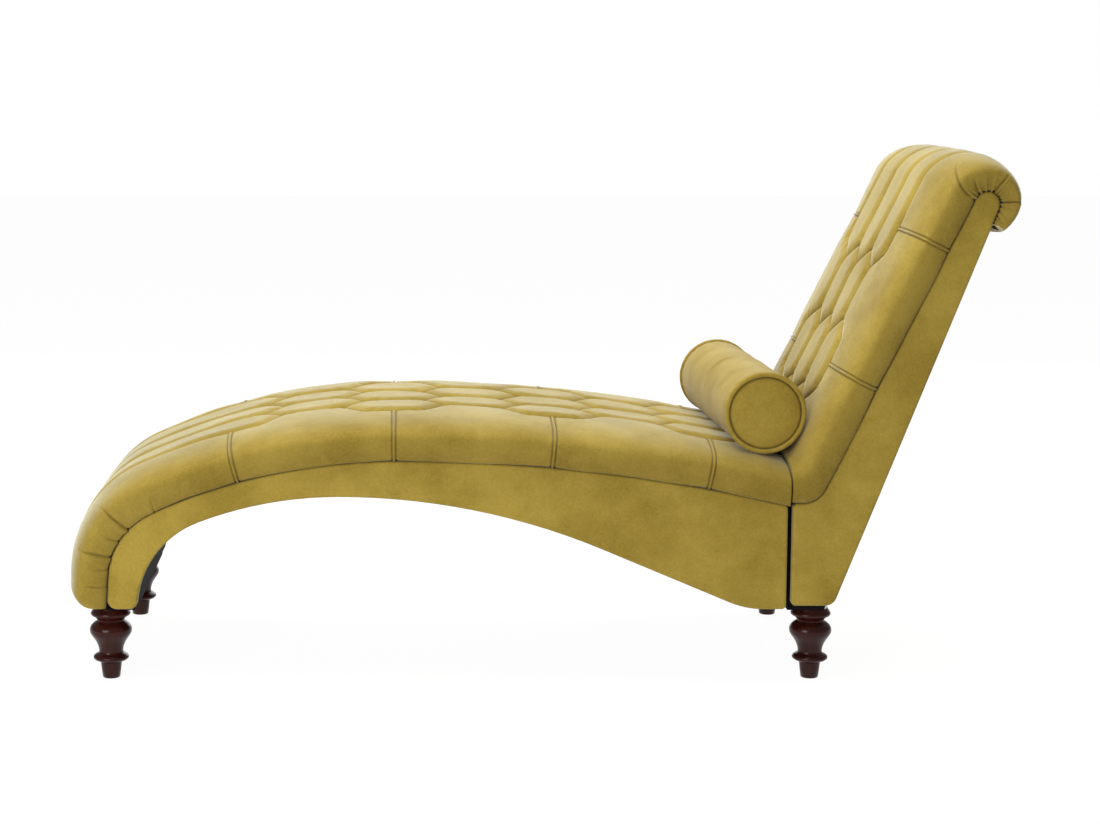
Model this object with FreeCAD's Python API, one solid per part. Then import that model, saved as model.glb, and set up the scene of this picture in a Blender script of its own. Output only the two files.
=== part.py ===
import FreeCAD, Part

import math
import os

# A tufted chaise longue in two modules, a seat and a raked back with a rolled top, on four turned legs.
# Millimetres and degrees. While it is drawn, x is 0 where the two modules meet and grows towards the
# back, y is 0 on the centre line and z is 0 on the floor. Everything moves once, at export, so that
# x is 0 halfway along the whole object.

# Legs
leg_height = 122.0
leg_foot_inset = 2.5
leg_back_x = 45.0
foot_tip_radius = 14.8
foot_top_radius = 17.7
foot_length = 27.0
ring_radius = 30.0
ring_height = 16.0
waist_radius = 20.5
belly_radius = 35.5
belly_height = 81.0
shoulder_fall = 10.0
shoulder_ease = 2.0
neck_radius = 23.0
neck_height = 99.0
collar_radius = 33.5
collar_top_radius = 28.5
collar_top_bevel = 9.0

# Widths across the chaise
body_half_width = 283.0
side_panel_thickness = 16.0
frame_board = 18.0
deck_board = 5.0
dust_cloth = 1.0
rail_thickness = 22.0
joint_slit = 8.0
panel_toe_radius = 18.0
panel_arch_radius = 14.0
panel_heel_radius = 20.0
panel_corner_radius = 8.0

# Side outline of the seat: the seam where the pad meets the side panel
seam_crest_above_legs = 256.0
seam_crest_to_joint = 651.0
seam_drop_at_joint = 76.0
shoulder_run = 409.0
shoulder_drop = 87.0
foot_reach = 488.5
foot_lean = 4.0
seat_frame_rise = 19.0

# Arch under the seat: the lower edge of the side panel
foot_width = 52.0
arch_crest_above_legs = 195.0
arch_crest_to_joint = 751.0
arch_shoulder_run = 233.0
arch_shoulder_drop = 43.0
arch_slope_run = 440.0
arch_slope_drop = 89.0
panel_above_legs = 5.0
gusset_ease = 30.0
frame_above_arch = 4.0

# Side outline of the back
heel_above_legs = 185.0
heel_radius = 40.0
roll_centre_x = 311.0
roll_above_legs = 681.0
roll_core_radius = 22.0
front_rake = 26.0
rear_rake = 21.2
roll_tail = 25.0
back_frame_rise = 15.0
rear_panel_thickness = 8.0
back_panel_above_legs = 11.0

# Pads and their tufting
seat_groove_height = 62.0
back_groove_height = 60.0
roll_end_height = 33.0
pillow_crown = 12.4
channel_crown = 9.0
tuft_spacing = 109.0
crease = 2.4
seat_tuft_pitch = 262.0
seat_last_tuft = 140.0
back_tuft_pitch = 255.0
back_first_tuft = 187.0
tuft_flat = 78.0
seat_tuft_rows = 4
back_tuft_rows = 2
band_bulge = 9.5
band_tuck = 4.0
band_edge_inset = 9.0
band_edge_share = 0.84
band_swell_share = 0.45
foot_pad_above_legs = 8.0
foot_pad_roll = 34.0
foot_pad_lip = 31.0
pad_gap = 3.0
heel_pivot_shift = 5.0
heel_pivot_drop = 9.0
tail_curl = 44.0
tail_thinning = 5.0

# How finely the pads are drawn: chords across a pillow and a side band, steps along each curved stretch
pillow_chords = 3
band_chords = 3
foot_steps = 3
toe_steps = 6
heel_steps = 3
roll_steps = 8
tail_steps = 2

# Bolster
bolster_radius = 67.0
bolster_end_radius = 63.0
bolster_length = 470.0
bolster_shoulder = 6.0
bolster_cover_thickness = 1.5
bolster_dome = 6.0
piping_radius = 3.5
piping_flats = 4
bolster_clearance = 0.6

# Fastenings
bolt_radius = 4.0
hole_clearance = 0.25
leg_bolt_in_leg = 40.0
leg_bolt_point = 1.0
bolt_stand_out = 4.0
block_height = 40.0
block_width = 80.0
block_length = 60.0
nut_plate_size = 30.0
nut_plate_thickness = 4.0
nut_plate_clearance = 0.5
module_bolt_y = 150.0
module_bolt_above_legs = 133.0
across_flats = 13.0
bolt_head_height = 5.5

# Rails and covers
rail_depth = 55.0
joint_rail_depth = 115.0
front_rail_x = -930.0
middle_rail_x = -600.0
rear_rail_x = -290.0
lower_rail_above_heel = 93.0
upper_rail_above_heel = 283.0
roll_rail_height = 44.0
rear_panel_gap = 1.0
rear_panel_drop = 8.0
cloth_hem = 4.0
cloth_end = 2.0

frame_bottom = leg_height + dust_cloth
panel_bottom = leg_height + panel_above_legs
back_panel_bottom = leg_height + back_panel_above_legs
foot_pad_underside = leg_height + foot_pad_above_legs
seam_crest_height = leg_height + seam_crest_above_legs
arch_crest_height = leg_height + arch_crest_above_legs
heel_height = leg_height + heel_above_legs
roll_centre_z = leg_height + roll_above_legs
module_bolt_z = leg_height + module_bolt_above_legs
lower_rail_z = heel_height + lower_rail_above_heel
upper_rail_z = heel_height + upper_rail_above_heel
board_outer_y = body_half_width - side_panel_thickness
board_inner_y = board_outer_y - frame_board
leg_side_y = board_inner_y - nut_plate_size / 2 - nut_plate_clearance
seat_pad_rise = seat_frame_rise + deck_board
back_pad_rise = back_frame_rise + deck_board
toe_cloth_y = leg_side_y - collar_radius - cloth_hem
filling_radius = bolster_end_radius - bolster_cover_thickness
overrun = 60.0
pad_overlap = 12.0
trim_reach = 40.0
far = 2000.0


class Course:
    """A side outline in the x-z plane: a start, a heading, and runs of (length, turn), left turns positive."""

    def __init__(self, x, z, heading, runs):
        self.x = x
        self.z = z
        self.heading = heading
        self.runs = [run for run in runs if run[0] > 0.01]

    def length(self):
        return sum(run[0] for run in self.runs)

    def step(self, x, z, heading, length, turn):
        """Where a run that starts here ends."""
        begin = math.radians(heading)
        if abs(turn) < 1e-9:
            return x + length * math.cos(begin), z + length * math.sin(begin), heading
        end = math.radians(heading + turn)
        radius = length / math.radians(turn)
        x_end = x + radius * (math.sin(end) - math.sin(begin))
        z_end = z - radius * (math.cos(end) - math.cos(begin))
        return x_end, z_end, heading + turn

    def at(self, distance):
        """Place and heading at a distance along the course."""
        x, z, heading = self.x, self.z, self.heading
        left = distance
        for length, turn in self.runs:
            if left <= length:
                return self.step(x, z, heading, left, turn * left / length)
            x, z, heading = self.step(x, z, heading, length, turn)
            left -= length
        return self.step(x, z, heading, left, 0.0)

    def offset(self, distance):
        """The same course moved to its left."""
        begin = math.radians(self.heading)
        x = self.x - distance * math.sin(begin)
        z = self.z + distance * math.cos(begin)
        runs = [(length - distance * math.radians(turn), turn) for length, turn in self.runs]
        return Course(x, z, self.heading, runs)

    def edges(self):
        made = []
        x, z, heading = self.x, self.z, self.heading
        for length, turn in self.runs:
            mid = self.step(x, z, heading, length / 2, turn / 2)
            end = self.step(x, z, heading, length, turn)
            if abs(turn) < 1e-9:
                made.append(line(flat(x, z), flat(end[0], end[1])))
            else:
                made.append(arc(flat(x, z), flat(mid[0], mid[1]), flat(end[0], end[1])))
            x, z, heading = end
        return made

    def start_point(self):
        return flat(self.x, self.z)

    def end_point(self):
        x, z, heading = self.at(self.length())
        return flat(x, z)


def flat(x, z):
    return FreeCAD.Vector(x, 0, z)


def line(a, b):
    return Part.LineSegment(a, b).toShape()


def arc(a, via, b):
    return Part.Arc(a, via, b).toShape()


def closed(points):
    return [line(a, b) for a, b in zip(points, points[1:] + points[:1])]


def corner(x0, z0, heading0, x1, z1, heading1, longest=None):
    """Runs that join two places and headings: straight, one tangent arc, straight."""
    c0, s0 = math.cos(math.radians(heading0)), math.sin(math.radians(heading0))
    c1, s1 = math.cos(math.radians(heading1)), math.sin(math.radians(heading1))
    cross = c0 * s1 - s0 * c1
    before = ((x1 - x0) * s1 - (z1 - z0) * c1) / cross
    after = ((x1 - x0) * s0 - (z1 - z0) * c0) / -cross
    turn = heading1 - heading0
    tangent = min(before, after)
    if longest is not None:
        tangent = min(tangent, longest)
    radius = tangent / math.tan(math.radians(abs(turn)) / 2)
    return [(before - tangent, 0.0), (radius * math.radians(abs(turn)), turn), (after - tangent, 0.0)]


def crown(run, drop):
    """Radius and turn of an arc that is level at its crest and has fallen by drop after run."""
    radius = (run * run + drop * drop) / (2 * drop)
    return radius, math.degrees(math.asin(run / radius))


def arc_run(radius, turn):
    return radius * math.radians(abs(turn)), turn


# The seat's seam, from the foot end over the crest to the joint and a little past it
seam_foot_x = -seam_crest_to_joint - foot_reach
leg_foot_x = seam_foot_x + leg_foot_inset
seam_front_radius, seam_front_turn = crown(shoulder_run, shoulder_drop)
seam_rear_radius, seam_joint_turn = crown(seam_crest_to_joint, seam_drop_at_joint)
seam_rear_turn = math.degrees(math.asin((seam_crest_to_joint + overrun) / seam_rear_radius))
seat_foot_runs = corner(
    seam_foot_x,
    frame_bottom,
    90.0 - foot_lean,
    -seam_crest_to_joint - shoulder_run,
    seam_crest_height - shoulder_drop,
    seam_front_turn,
)
seat_course = Course(
    seam_foot_x,
    frame_bottom,
    90.0 - foot_lean,
    seat_foot_runs
    + [arc_run(seam_front_radius, -seam_front_turn), arc_run(seam_rear_radius, -seam_rear_turn)],
)
seat_foot_length = sum(run[0] for run in seat_foot_runs)
seat_crest_distance = seat_foot_length + seam_front_radius * math.radians(seam_front_turn)
seat_joint_distance = seat_crest_distance + seam_rear_radius * math.radians(seam_joint_turn)

# The arch, from the foot end's inner face over its crest and down to the gusset's flat edge
arch_foot_x = seam_foot_x + foot_width
arch_front_radius, arch_front_turn = crown(arch_shoulder_run, arch_shoulder_drop)
arch_rear_radius, arch_rear_turn = crown(arch_slope_run, arch_slope_drop)
arch_course = Course(
    arch_foot_x,
    panel_bottom,
    90.0 - foot_lean,
    corner(
        arch_foot_x,
        panel_bottom,
        90.0 - foot_lean,
        -arch_crest_to_joint - arch_shoulder_run,
        arch_crest_height - arch_shoulder_drop,
        arch_front_turn,
    )
    + [arc_run(arch_front_radius, -arch_front_turn), arc_run(arch_rear_radius, -arch_rear_turn)]
    + corner(
        -arch_crest_to_joint + arch_slope_run,
        arch_crest_height - arch_slope_drop,
        -arch_rear_turn,
        overrun,
        panel_bottom,
        0.0,
        gusset_ease,
    ),
)

# The back's seam, from before the joint round the heel, up the front and over the roll
front_heading = 90.0 - front_rake
rear_heading = -90.0 - rear_rake
front_normal = (-math.cos(math.radians(front_rake)), math.sin(math.radians(front_rake)))
rear_normal = (math.cos(math.radians(rear_rake)), -math.sin(math.radians(rear_rake)))
roll_front_x = roll_centre_x + roll_core_radius * front_normal[0]
roll_front_z = roll_centre_z + roll_core_radius * front_normal[1]
heel_tangent = heel_radius * math.tan(math.radians(front_heading) / 2)
back_front_runs = corner(
    -overrun, heel_height, 0.0, roll_front_x, roll_front_z, front_heading, heel_tangent
)
back_course = Course(
    -overrun,
    heel_height,
    0.0,
    back_front_runs + [arc_run(roll_core_radius, rear_heading - front_heading), (roll_tail, 0.0)],
)
back_line_distance = back_front_runs[0][0] + back_front_runs[1][0]
back_roll_distance = back_line_distance + back_front_runs[2][0]
back_tail_distance = back_course.length() - roll_tail


def extruded(edges, y_low, y_high):
    """The plane outline drawn at y 0, as a slab between two places across the chaise."""
    face = Part.Face(Part.Wire(edges))
    face.translate(FreeCAD.Vector(0, y_low, 0))
    return face.extrude(FreeCAD.Vector(0, y_high - y_low, 0))


def band(lower, upper, y_low, y_high):
    """A slab between two courses that run the same way."""
    edges = upper.edges()
    edges.append(line(upper.end_point(), lower.end_point()))
    edges += list(reversed(lower.edges()))
    edges.append(line(lower.start_point(), upper.start_point()))
    return extruded(edges, y_low, y_high)


def block(x_low, x_high, y_low, y_high, z_low, z_high):
    corner_point = FreeCAD.Vector(x_low, y_low, z_low)
    return Part.makeBox(x_high - x_low, y_high - y_low, z_high - z_low, corner_point)


def window(x_low, x_high, z_low, z_high):
    """A box that reaches right across, to keep one stretch of a longer piece."""
    reach = body_half_width + trim_reach
    return block(x_low, x_high, -reach, reach, z_low, z_high)


def rounded_corner(shape, x, z, radius):
    """Rounds the crosswise edge nearest to a place in the side outline."""
    crosswise = [
        edge
        for edge in shape.Edges
        if len(edge.Vertexes) == 2
        and abs(edge.Vertexes[0].X - edge.Vertexes[1].X) < 0.01
        and abs(edge.Vertexes[0].Z - edge.Vertexes[1].Z) < 0.01
    ]
    crosswise.sort(key=lambda edge: math.hypot(edge.Vertexes[0].X - x, edge.Vertexes[0].Z - z))
    return shape.makeFillet(radius, crosswise[:1])


def cylinder(radius, x, y, z, length, direction):
    return Part.makeCylinder(radius, length, FreeCAD.Vector(x, y, z), direction)


def hexagon(x, y, z, length):
    """A bolt head, lying along the chaise."""
    radius = across_flats / math.sqrt(3)
    corners = []
    for turn in range(7):
        angle = math.radians(60 * turn)
        corners.append(FreeCAD.Vector(x, y + radius * math.cos(angle), z + radius * math.sin(angle)))
    return Part.Face(Part.makePolygon(corners)).extrude(FreeCAD.Vector(length, 0, 0))


def under(course, y_low, y_high):
    """Everything beneath a course, down past the floor."""
    edges = course.edges()
    end = course.end_point()
    start = course.start_point()
    low_end = flat(end.x, -overrun)
    low_start = flat(start.x, -overrun)
    edges.append(line(end, low_end))
    edges.append(line(low_end, low_start))
    edges.append(line(low_start, start))
    return extruded(edges, y_low, y_high)


up = FreeCAD.Vector(0, 0, 1)
along = FreeCAD.Vector(1, 0, 0)
across = FreeCAD.Vector(0, 1, 0)
exported = []


def save(name, shape):
    exported.append((name, shape))


def save_both_sides(name, near):
    """A piece of the near side, where y is below 0, and its mirror image on the far side."""
    save(name + "_near", near)
    save(name + "_far", near.mirror(FreeCAD.Vector(0, 0, 0), across))


def save_group(name, shapes):
    save(name, Part.makeCompound(shapes))


# Seat module


def seat_side_frame():
    """A board cut to the side outline, with a toe that stands on the front leg's block."""
    outer = seat_course.offset(seat_frame_rise)
    board = band(arch_course.offset(frame_above_arch), outer, -board_outer_y, -board_inner_y)
    toe = block(
        seam_foot_x - seat_frame_rise,
        arch_foot_x - frame_above_arch,
        -board_outer_y,
        -board_inner_y,
        frame_bottom,
        panel_bottom + 3 * frame_above_arch,
    )
    board = board.fuse(toe.common(under(outer, -board_outer_y, -board_inner_y)))
    return board.common(window(-far, 0, frame_bottom, far)).removeSplitter()


def seat_side_panel():
    """The upholstered side, from the foot end over the arch to the slit beside the back."""
    panel = band(arch_course, seat_course, -body_half_width, -board_outer_y)
    end_x = -joint_slit / 2
    end_z = seat_course.at(seat_joint_distance + end_x)[1]
    panel = panel.common(window(-far, end_x, panel_bottom, far))
    panel = rounded_corner(panel, seam_foot_x, panel_bottom, panel_toe_radius)
    panel = rounded_corner(panel, arch_foot_x, panel_bottom, panel_arch_radius)
    panel = rounded_corner(panel, end_x, panel_bottom, panel_corner_radius)
    return rounded_corner(panel, end_x, end_z, panel_corner_radius)


def seat_deck():
    inner = seat_course.offset(seat_frame_rise)
    outer = seat_course.offset(seat_pad_rise)
    deck = band(inner, outer, -board_outer_y, board_outer_y)
    return deck.common(window(-far, 0, foot_pad_underside, far))


def seat_rail(x_low, x_high, depth):
    """A cross rail between the side frames, close under the deck."""
    lower = seat_course.offset(seat_frame_rise - depth)
    upper = seat_course.offset(seat_frame_rise)
    rail = band(lower, upper, -board_inner_y, board_inner_y)
    return rail.common(window(x_low, x_high, 0, far))


def seat_foot_rail():
    """Stands between the front legs' blocks, behind the foot end's deck."""
    reach = board_inner_y - block_width
    lower = seat_course.offset(seat_frame_rise - rail_thickness)
    upper = seat_course.offset(seat_frame_rise)
    rail = band(lower, upper, -reach, reach)
    return rail.common(window(-far, arch_foot_x, frame_bottom, frame_bottom + block_height))


def leg_places(x):
    return [(x, -leg_side_y), (x, leg_side_y)]


def leg_hole(x, y, z_low, z_high):
    return cylinder(bolt_radius + hole_clearance, x, y, z_low, z_high - z_low, up)


def corner_block(x_low, x_high, x_leg):
    """The hardwood block that takes one leg, bored for its bolt."""
    top = frame_bottom + block_height
    base = block(x_low, x_high, -board_inner_y, block_width - board_inner_y, frame_bottom, top)
    return base.cut(leg_hole(x_leg, -leg_side_y, frame_bottom, top))


def seat_corner_block():
    x_low = seam_foot_x - seat_frame_rise
    body = corner_block(x_low, arch_foot_x - frame_above_arch, leg_foot_x)
    return body.common(under(seat_course.offset(seat_frame_rise), -board_inner_y, 0))


def seat_dust_cover():
    """Black cloth under the seat: between the legs, up the foot's inner face and along the arch."""
    cloth_y = board_outer_y - cloth_hem
    inner = arch_course.offset(frame_above_arch)
    outer = arch_course.offset(frame_above_arch - dust_cloth)
    cloth = band(outer, inner, -cloth_y, cloth_y).common(window(-far, 0, 0, far))
    toe_end = inner.x + dust_cloth
    strip = block(inner.x, toe_end, -toe_cloth_y, toe_cloth_y, leg_height, inner.z + dust_cloth)
    toe_start = seam_foot_x - seat_frame_rise + cloth_end
    toe = block(toe_start, toe_end, -toe_cloth_y, toe_cloth_y, leg_height, frame_bottom)
    return cloth.fuse(strip).fuse(toe).removeSplitter()


# Pads


def through(first, middle, last, parts):
    """Points that divide a parabola from the first point over the middle one to the last, without the first."""
    points = []
    for part in range(1, parts + 1):
        t = part / parts
        shares = ((1 - t) * (1 - 2 * t), 4 * t * (1 - t), t * (2 * t - 1))
        y = shares[0] * first[0] + shares[1] * middle[0] + shares[2] * last[0]
        height = shares[0] * first[1] + shares[1] * middle[1] + shares[2] * last[1]
        points.append((y, height))
    return points


def section(x, z, direction, grooves, groove_height, tuck=0.0, crown_height=channel_crown):
    """One closed section of a pad, at a place on its side outline.

    The direction is a unit vector in the side outline that points out of the pad's face. The near side
    band swells out from the seam and turns over the edge, pillows lie between the grooves, and the far
    side is its mirror image.
    """
    seam = (-body_half_width + tuck / 2, -pad_overlap)
    swell = (-body_half_width - band_bulge + tuck, band_swell_share * groove_height)
    edge = (-body_half_width + band_edge_inset + tuck, band_edge_share * groove_height)
    far_edge = (-edge[0], edge[1])
    points = [seam] + through(seam, swell, edge, band_chords)
    stops = [edge] + [(y, groove_height) for y in grooves] + [far_edge]
    for near, beyond in zip(stops, stops[1:]):
        rise = crown_height * min(1.0, (beyond[0] - near[0]) / tuft_spacing)
        top = ((near[0] + beyond[0]) / 2, (near[1] + beyond[1]) / 2 + rise)
        points += through(near, top, beyond, pillow_chords)
    points += through(far_edge, (-swell[0], swell[1]), (-seam[0], seam[1]), band_chords)
    corners = [FreeCAD.Vector(x + h * direction[0], y, z + h * direction[1]) for y, h in points]
    return Part.makePolygon(corners + corners[:1])


def creased(places):
    """Groove places, where each crease inside the pad is a pair of edges."""
    pairs = [(y - crease / 2, y + crease / 2) for y in places]
    return [y for pair in pairs for y in pair]


# Four grooves stand between three pillows, and three grooves between two, with a side band beyond
outer_grooves = 1.5 * tuft_spacing
four_grooves = [-outer_grooves] + creased([-tuft_spacing / 2, tuft_spacing / 2]) + [outer_grooves]
three_grooves = creased([-tuft_spacing, 0.0, tuft_spacing])


def normal(heading):
    return -math.sin(math.radians(heading)), math.cos(math.radians(heading))


def span_normal(course, start, end):
    """Square to the straight line between two places on a course."""
    x0, z0, heading = course.at(start)
    x1, z1, heading = course.at(end)
    length = math.hypot(x1 - x0, z1 - z0)
    return -(z1 - z0) / length, (x1 - x0) / length


def tufted_sections(course, first, rows, pitch, groove_height):
    """Rows of four grooves with rows of three halfway between, and slanting creases from row to row."""
    sections = []
    step = pitch / 2
    for row in range(2 * rows - 1):
        grooves = three_grooves if row % 2 else four_grooves
        tuck = 0.0 if row % 2 else band_tuck
        start = first + row * step - tuft_flat / 2
        end = start + tuft_flat
        for distance, slant_start, slant_end in (
            (start, end - step, start),
            (end, end, start + step),
        ):
            x, z, heading = course.at(distance)
            direction = span_normal(course, slant_start, slant_end)
            sections.append(section(x, z, direction, grooves, groove_height, tuck, pillow_crown))
    return sections


def polygon(corners):
    return Part.Face(Part.makePolygon(corners + corners[:1]))


def true_planes(patch):
    """A patch of a ruled loft as one plane where its rim is flat, and otherwise as two triangles."""
    corners = [vertex.Point for vertex in patch.OuterWire.OrderedVertexes]
    if patch.findPlane():
        return [polygon(corners)]
    a, b, c, d = corners
    if a.distanceToPoint(c) < b.distanceToPoint(d):
        return [polygon([a, b, c]), polygon([a, c, d])]
    return [polygon([a, b, d]), polygon([b, c, d])]


def lofted(sections):
    """A closed loft of flat facets, from section to section."""
    loft = Part.makeLoft(sections, True, True)
    shell = Part.makeShell([face for patch in loft.Faces for face in true_planes(patch)])
    shell.sewShape()
    solid = Part.makeSolid(shell)
    return solid if solid.Volume > 0 else solid.reversed()


def seat_pad():
    sections = []
    x, z, heading = seat_course.at(0)
    start = (foot_pad_underside - z) / math.cos(math.radians(foot_lean))
    for part in range(foot_steps):
        angle = math.radians(90.0 * part / foot_steps)
        lift = foot_pad_lip + (seat_groove_height - foot_pad_lip) * math.sin(angle)
        x, z, heading = seat_course.at(start + foot_pad_roll * (1 - math.cos(angle)))
        sections.append(section(x, z, normal(heading), four_grooves, lift))
    begin = start + foot_pad_roll
    first = seat_joint_distance - seat_last_tuft - (seat_tuft_rows - 1) * seat_tuft_pitch
    for part in range(toe_steps):
        share = part / toe_steps
        x, z, heading = seat_course.at(begin + (first - tuft_flat / 2 - begin) * share)
        sections.append(section(x, z, normal(heading), four_grooves, seat_groove_height))
    sections += tufted_sections(
        seat_course, first, seat_tuft_rows, seat_tuft_pitch, seat_groove_height
    )
    x, z, heading = seat_course.at(seat_joint_distance - pad_gap / 2)
    upright = seat_groove_height / math.cos(math.radians(heading))
    sections.append(section(x, z, (0.0, 1.0), four_grooves, upright))
    reach = body_half_width + trim_reach
    pad = lofted(sections).cut(under(seat_course, -reach, reach))
    return pad.cut(under(seat_course.offset(seat_pad_rise), -board_outer_y, board_outer_y))


# Back module


def rear_x(inset, z):
    """Where the back's rear line, moved in from the side panel's edge, stands at a height."""
    top_x = roll_centre_x + (roll_core_radius - inset) * rear_normal[0]
    top_z = roll_centre_z + (roll_core_radius - inset) * rear_normal[1]
    return top_x - (top_z - z) * math.tan(math.radians(rear_rake))


def back_slab(rise, rear_inset, y_low, y_high):
    """The back's side outline, outside the seam by rise in front and inside it by rear_inset behind."""
    course = back_course.offset(rise)
    edges = course.edges()
    last = course.end_point()
    if rise + rear_inset > 0:
        inner_z = last.z - (rise + rear_inset) * rear_normal[1]
        inner = flat(rear_x(rear_inset, inner_z), inner_z)
        edges.append(line(last, inner))
        last = inner
    heel = flat(rear_x(rear_inset, 0), 0)
    front = flat(-overrun, 0)
    edges.append(line(last, heel))
    edges.append(line(heel, front))
    edges.append(line(front, course.start_point()))
    return extruded(edges, y_low, y_high)


def back_side_frame():
    inset = rear_panel_thickness + rear_panel_gap
    board = back_slab(back_frame_rise, inset, -board_outer_y, -board_inner_y)
    return board.common(window(0, far, frame_bottom, far))


def back_side_panel():
    panel = back_slab(0.0, 0.0, -body_half_width, -board_outer_y)
    front_x = joint_slit / 2
    rear_corner_x = rear_x(0, back_panel_bottom)
    panel = panel.common(window(front_x, far, back_panel_bottom, far))
    panel = rounded_corner(panel, rear_corner_x, back_panel_bottom, panel_heel_radius)
    panel = rounded_corner(panel, front_x, back_panel_bottom, panel_corner_radius)
    return rounded_corner(panel, front_x, heel_height, panel_corner_radius)


def back_deck():
    inner = back_course.offset(back_frame_rise)
    outer = back_course.offset(back_pad_rise)
    deck = band(inner, outer, -board_outer_y, board_outer_y)
    return deck.common(window(0, far, 0, far))


def back_rail(z_low, z_high, depth):
    """A cross rail between the side frames, close behind the deck."""
    lower = back_course.offset(back_frame_rise - depth)
    upper = back_course.offset(back_frame_rise)
    rail = band(lower, upper, -board_inner_y, board_inner_y)
    return rail.common(window(0, far, z_low, z_high))


def back_roll_rail():
    return block(
        roll_centre_x - rail_thickness / 2,
        roll_centre_x + rail_thickness / 2,
        -board_inner_y,
        board_inner_y,
        roll_centre_z - roll_rail_height / 2,
        roll_centre_z + roll_rail_height / 2,
    )


def bolt_holes(shape, x_low, x_high):
    """Bores a module rail for its two bolts."""
    for y in (-module_bolt_y, module_bolt_y):
        radius = bolt_radius + hole_clearance
        shape = shape.cut(cylinder(radius, x_low, y, module_bolt_z, x_high - x_low, along))
    return shape


def seat_joint_rail():
    return bolt_holes(seat_rail(-rail_thickness, 0, joint_rail_depth), -rail_thickness, 0)


def back_joint_rail():
    top = heel_height + back_frame_rise
    rail = block(0, rail_thickness, -board_inner_y, board_inner_y, top - joint_rail_depth, top)
    rail = rail.common(back_slab(back_frame_rise, 0.0, -board_inner_y, board_inner_y))
    return bolt_holes(rail, 0, rail_thickness)


def back_corner_block():
    rear_inset = rear_panel_thickness + rear_panel_gap
    body = corner_block(0, leg_back_x + block_length, leg_back_x)
    return body.common(back_slab(0.0, rear_inset, -board_inner_y, board_inner_y))


def back_rear_panel():
    """The padded outside back, between the side panels, from under the roll down to the legs."""
    top = roll_centre_z - roll_core_radius - roll_end_height - rear_panel_drop
    low = back_panel_bottom
    inner = rear_panel_gap + rear_panel_thickness
    points = [
        flat(rear_x(rear_panel_gap, low), low),
        flat(rear_x(rear_panel_gap, top), top),
        flat(rear_x(inner, top), top),
        flat(rear_x(inner, low), low),
    ]
    return extruded(closed(points), -board_outer_y, board_outer_y)


def back_dust_cover():
    rear = rear_x(rear_panel_gap + rear_panel_thickness, frame_bottom) - cloth_end
    return block(cloth_end, rear, -toe_cloth_y, toe_cloth_y, leg_height, frame_bottom)


def inside_back(course, rise, y_low, y_high):
    """What lies behind a course that runs up the front and over the roll, deep enough to trim the pad."""
    edges = course.edges()
    end = course.end_point()
    depth = roll_core_radius + rise
    core = flat(end.x - depth * rear_normal[0], end.z - depth * rear_normal[1])
    knee = flat(heel_radius + overrun, heel_height)
    low = flat(-overrun, heel_height - overrun)
    edges.append(line(end, core))
    edges.append(line(core, knee))
    edges.append(line(knee, low))
    edges.append(line(low, course.start_point()))
    return extruded(edges, y_low, y_high)


def heel_sections(line_start, pivot_end):
    """The pad's foot fans round the corner that it makes with the seat pad."""
    sections = []
    start = overrun + pad_gap / 2
    pivot_start = (pad_gap / 2, pivot_end[1] - heel_pivot_drop)
    for part in range(heel_steps):
        share = part / heel_steps
        x, z, heading = back_course.at(start + (line_start - start) * share)
        to_x = pivot_start[0] + (pivot_end[0] - pivot_start[0]) * share
        to_z = pivot_start[1] + (pivot_end[1] - pivot_start[1]) * share
        reach = math.hypot(to_x - x, to_z - z)
        direction = ((to_x - x) / reach, (to_z - z) / reach)
        sections.append(section(x, z, direction, three_grooves, reach))
    return sections


def roll_sections():
    """The pad winds over the roll, thinning as it goes, and tucks in under the rear."""
    sections = []
    turn_length = back_tail_distance - back_roll_distance
    for part in range(roll_steps + 1):
        share = part / roll_steps
        height = back_groove_height + (roll_end_height - back_groove_height) * share
        x, z, heading = back_course.at(back_roll_distance + turn_length * share)
        sections.append(section(x, z, normal(heading), four_grooves, height))
    for part in range(1, tail_steps + 1):
        share = part / tail_steps
        x, z, heading = back_course.at(back_tail_distance + roll_tail * share / 2)
        direction = normal(heading - tail_curl * share)
        height = roll_end_height - tail_thinning * share
        sections.append(section(x, z, direction, four_grooves, height))
    return sections


def back_pad():
    line_x, line_z, heading = back_course.at(back_line_distance)
    out = normal(heading)
    pivot_x = pad_gap / 2 + heel_pivot_shift
    rise_along = (pivot_x - line_x - back_groove_height * out[0]) / math.cos(math.radians(heading))
    line_start = back_line_distance + rise_along
    x, z, heading = back_course.at(line_start)
    pivot_end = (x + back_groove_height * out[0], z + back_groove_height * out[1])
    sections = heel_sections(line_start, pivot_end)
    first = back_line_distance + back_first_tuft
    for distance in (line_start, first - back_tuft_pitch / 2 + tuft_flat / 2):
        x, z, heading = back_course.at(distance)
        sections.append(section(x, z, out, three_grooves, back_groove_height))
    sections += tufted_sections(
        back_course, first, back_tuft_rows, back_tuft_pitch, back_groove_height
    )
    sections += roll_sections()
    long_tail = back_course.runs[:-1] + [(2 * overrun, 0.0)]
    seam = Course(back_course.x, back_course.z, back_course.heading, long_tail)
    reach = body_half_width + trim_reach
    pad = lofted(sections).cut(inside_back(seam, 0.0, -reach, reach))
    deck = back_course.offset(back_pad_rise)
    return pad.cut(inside_back(deck, back_pad_rise, -board_outer_y, board_outer_y))


# Legs and fastenings


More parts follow.
